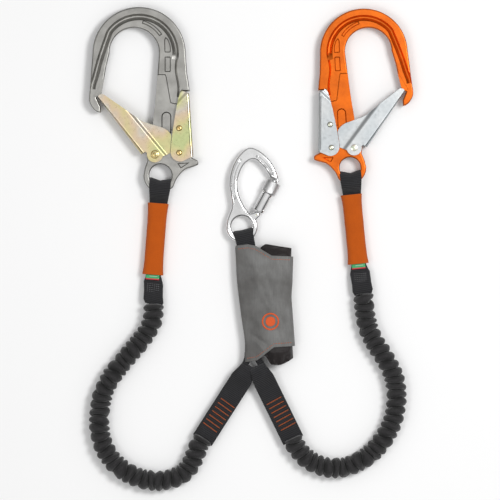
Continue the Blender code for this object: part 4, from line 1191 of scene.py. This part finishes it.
# tear webbing, folded back and forth into a pack
layers, pack_stations = 7, []
low_corner, high_corner = (Vector(c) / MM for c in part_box("tear_webbing_pack"))
pitch = (high_corner.z - low_corner.z - 3.2) / (layers - 1)
for layer in range(layers):
    z = low_corner.z + 1.5 + pitch * layer
    ys = (low_corner.y + 10.0, high_corner.y - 3.0)
    if layer % 2:
        ys = ys[::-1]
    for i in range(61):
        spot = (PACK_MIDDLE, ys[0] + (ys[1] - ys[0]) * i / 60, z)
        pack_stations.append((spot, (1, 0, 0), PACK_WIDTH))
    if layer < layers - 1:
        turn = 1 if ys[1] > ys[0] else -1
        for i in range(1, 8):
            a = math.pi * (i / 8 - 0.5)
            spot = (PACK_MIDDLE, ys[1] + turn * math.cos(a) * pitch / 2,
                    z + pitch / 2 + math.sin(a) * pitch / 2)
            pack_stations.append((spot, (1, 0, 0), PACK_WIDTH))
attach(strap("folded_tear_webbing", pack_stations, TEAR_CLOTH, thickness=2.1, rib=0.05, divisions=8),
       "absorber", "tear_webbing", "tear_webbing_pack")

# ---- webbing at the absorber --------------------------------------------------------------------------
attach(looped("carabiner_webbing_loop", (-20.5, 55.0), (-29.6, 96.4), (19.0, 11.0), 7.6,
              lambda share: 23.0 + 3.0 * share, 14.0, 17.0, 0.8, BLACK_WEBBING),
       "absorber", "black_webbing", "carabiner_loop")

for side, tail, tip, level in (("left", (-83.4, -182.8), (-20.5, -84.8), -1.5),
                               ("right", (37.6, -183.0), (-10.5, -84.8), 1.7)):
    def width_at(share, side=side):
        return 29.6 - 7.5 * ease((share - 0.80) / 0.20)
    attach(looped(side + "_sewn_leg_strap", tail, tip, (LEG_HEIGHT, 14.0 + level), 8.0, width_at, 12.0, 22.0,
                  0.0, BLACK_WEBBING), "absorber", "black_webbing", side + "_leg_strap")

ring_path = [(-22.6, -66.0), (-23.4, -74.0), (-26.4, -82.0), (-30.6, -88.0), (-27.0, -94.0), (-16.5, -98.5),
             (-6.0, -95.0), (-1.5, -90.0), (-4.4, -83.0), (-8.6, -76.0), (-10.5, -68.0)]
ring_stations = []
path = smooth_route([Vector((x, y, 14.0)) for x, y in ring_path], 0.4)
for i, spot in enumerate(path):
    tangent = (path[min(i + 1, len(path) - 1)] - path[max(i - 1, 0)]).normalized()
    ring_stations.append((spot, (tangent.y, -tangent.x, 0.0), 9.4))
attach(strap("absorber_end_loop", ring_stations, BLACK_WEBBING, thickness=8.0, rib=0.2, wobble=0.2),
       "absorber", "black_webbing", "leg_ring")

bars = []
for first, last in (((-49.7, -133.5), (-73.1, -165.8)), ((11.9, -130.5), (30.8, -164.7))):
    first, last = Vector(first), Vector(last)
    line = (last - first).normalized()
    wide = Vector((-line.y, line.x))
    for n in range(7):
        middle = first.lerp(last, n / 6)
        zigzag = []
        for k in range(45):
            along_bar = (k / 44 - 0.5) * 22.0
            zig = 0.45 if k % 2 else -0.45
            spot = middle + wide * along_bar + line * zig
            zigzag.append((spot.x, spot.y, LEG_HEIGHT + 3.15 + 0.10 * (k % 2)))
        bars.append(zigzag)
attach(stitches("leg_strap_bar_tacks", bars, 0.48, ORANGE_THREAD), "absorber", "orange_print")


TAB_WIDTHS = [(0, 19.5), (0.24, 20.0), (0.36, 24.0), (0.44, 27.0), (0.70, 26.2), (0.90, 27.6), (1, 23.0)]

# ---- arms: eye loop, grip sleeve, label, end tab --------------------------------------------------------
def build_arm(side, eye, up, grip_top, grip_bottom, leg):
    start, end = Vector(grip_top), Vector(grip_bottom)
    axis = (end - start).normalized()
    across = Vector((-axis.y, axis.x))
    tip = Vector(eye) - up * 4.2

    def width_at(share):
        return along([(0.0, 22.0), (0.40, 22.5), (0.62, 25.0), (0.86, 28.8), (1.0, 28.4)], share)

    attach(looped(side + "_eye_webbing_loop", start + axis * 40, tip, (GRIP_HEIGHT, 13.0), 7.8, width_at,
                  17.5, 14.0, 3.6, BLACK_WEBBING), "absorber", "black_webbing", side + "_eye_loop")

    around, steps, wall = 64, 90, 1.8
    rows = []

    def sleeve_row(v, shrink, push=0.0):
        flare = abs(2 * v - 1) ** 5
        half_width = 12.6 + 1.5 * flare - shrink
        half_height = 8.6 + 0.9 * flare - shrink
        row = []
        for j in range(around):
            a = 2 * math.pi * j / around
            c, s = math.cos(a), math.sin(a)
            dent = 0.22 * noise.noise(Vector((v * 9, c * 1.6, s * 1.6 + eye[0])))
            x = (half_width + dent) * math.copysign(abs(c) ** 0.72, c)
            z = (half_height + dent) * math.copysign(abs(s) ** 0.80, s)
            spot = start.lerp(end, v) + across * x + axis * push
            row.append((spot.x, spot.y, GRIP_HEIGHT + z))
        return row

    lip = [(math.pi * k / 8) for k in range(9)]
    for a in lip[::-1]:
        rows.append(sleeve_row(0.0, 0.9 - 0.9 * math.cos(a), -0.9 * math.sin(a)))
    for i in range(1, steps):
        rows.append(sleeve_row(i / steps, 0.0))
    for a in lip:
        rows.append(sleeve_row(1.0, 0.9 - 0.9 * math.cos(a), 0.9 * math.sin(a)))
    for i in range(1, 12):
        rows.append(sleeve_row(1 - i / 12, wall))
    rows.append(rows[0])
    mesh = grid(side + "_grip", rows, ring=True)
    grip = show(side + "_foam_grip", mesh, ORANGE_FOAM, WORLD)
    attach(grip, "absorber", "orange_foam", side + "_grip_sleeve")

    stations = []
    for i in range(60):
        spot = end + axis * (-6.0 + 13.5 * i / 59)
        stations.append(((spot.x, spot.y, GRIP_HEIGHT + 4.4 + 1.3 * i / 59), (across.x, across.y, 0), 18.6))
    label = strap(side + "_green_label", stations, GREEN_LABEL, thickness=0.9, rib=0.0)
    attach(label, "absorber", "green_label", side + "_inspection_label")

    leg_start = Vector(leg[0])
    leg_axis = (Vector(leg[1]) - leg_start).normalized()
    tab_start = end - axis * 10
    tab_end = leg_start + leg_axis * 1.2
    stations = []
    count = 130
    for i in range(count + 1):
        v = i / count
        spot = tab_start.lerp(tab_end, v)
        height = GRIP_HEIGHT - 1.0 + (LEG_HEIGHT - GRIP_HEIGHT + 1.0) * ease((v - 0.2) / 0.6)
        width = along(TAB_WIDTHS, v)
        side_way = across.lerp(Vector((-leg_axis.y, leg_axis.x)), ease(v))
        lean = math.radians(-13.0 if side == "left" else 5.0) * ease((v - 0.3) / 0.2)
        turned_way = Vector((side_way.x * math.cos(lean) - side_way.y * math.sin(lean),
                             side_way.x * math.sin(lean) + side_way.y * math.cos(lean), 0))
        stations.append(((spot.x, spot.y, height), turned_way, width))
    attach(strap(side + "_folded_end_tab", stations, BLACK_WEBBING, thickness=5.2, wobble=0.5, divisions=18),
           "absorber", "black_webbing", side + "_end_tab")

    box = []
    middle = tab_start.lerp(tab_end, 0.55)
    height = LEG_HEIGHT + 1.6
    for row in (-4.6, -2.2, 0.4, 3.0, 5.4):
        points = []
        for k in range(11):
            t = (k / 10 - 0.5) * 17.0
            spot = middle + across * t + axis * (row + 0.05 * t)
            points.append(Vector((spot.x, spot.y, height)))
        box += dashed(points, 2.0, 0.9)
    attach(stitches(side + "_end_tab_stitches", box, 0.33, GREY_THREAD), "absorber", "black_webbing")


def eye_of(side):
    space = hook_space(side)
    center = (space @ Vector((0, 0, 0))).to_2d() / MM
    up = ((space @ Vector((0, 1, 0))).to_2d() / MM - center).normalized()
    return tuple(center), up


left_eye, left_up = eye_of("left")
right_eye, right_up = eye_of("right")
build_arm("left", left_eye, left_up, (-142.2, 131.4), (-149.4, 38.0), LEFT_LEG)
build_arm("right", right_eye, right_up, (114.8, 142.9), (124.0, 52.4), RIGHT_LEG)

# ---- inner metal parts kept from the frame, with their own material ---------------------------------------
for node, look in (("left_gate_spring", SPRING_WIRE), ("left_lever_spring", SPRING_WIRE),
                   ("right_gate_spring", SPRING_WIRE), ("right_lever_spring", SPRING_WIRE),
                   ("carabiner_gate_spring", SPRING_WIRE), ("carabiner_gate_plunger", SPRING_WIRE),
                   ("carabiner_sleeve_spring", SPRING_WIRE)):
    for place in frame["nodes"][node].material_slots:
        place.material = look

# ---- floor and light ------------------------------------------------------------------------
floor_mesh = grid("floor", [[(x, y, -0.0004) for x in (-4, 4)] for y in (-4, 4)])
floor_look = Look("pale_floor", 0.9)
floor_look.color(floor_look.mix(floor_look.noise(0.6, 3.0), (0.90, 0.90, 0.90), (0.93, 0.93, 0.93)))
floor_look.bump((floor_look.noise(0.002, 3.0), 0.0001, 0.1))
show("floor", floor_mesh, floor_look.material)

world = bpy.data.worlds.new("studio")
bpy.context.scene.world = world
world.use_nodes = True
sky = world.node_tree
direction = sky.nodes.new("ShaderNodeTexCoord").outputs["Generated"]
height = sky.nodes.new("ShaderNodeSeparateXYZ")
sky.links.new(direction, height.inputs[0])
gradient = sky.nodes.new("ShaderNodeValToRGB")
sky.links.new(height.outputs["Z"], gradient.inputs["Fac"])
stops = [(0.0, 0.05), (0.30, 0.10), (0.55, 0.40), (0.80, 0.66), (0.95, 0.80)]
while len(gradient.color_ramp.elements) < len(stops):
    gradient.color_ramp.elements.new(0.5)
for element, (place, level) in zip(gradient.color_ramp.elements, stops):
    element.position = place
    element.color = (level, level, level, 1.0)
background = sky.nodes["Background"]
sky.links.new(gradient.outputs["Color"], background.inputs["Color"])
background.inputs["Strength"].default_value = 1.0


def area_light(name, place, size, power):
    light = bpy.data.lights.new(name, "AREA")
    light.shape = "SQUARE"
    light.size = size
    light.energy = power
    lamp = bpy.data.objects.new(name, light)
    bpy.context.scene.collection.objects.link(lamp)
    lamp.location = place
    lamp.rotation_euler = (-Vector(place)).to_track_quat("-Z", "Y").to_euler()


area_light("key", (1.2, 0.6, 2.6), 0.8, 42.0)
area_light("fill", (-0.9, -0.4, 2.6), 0.9, 11.0)
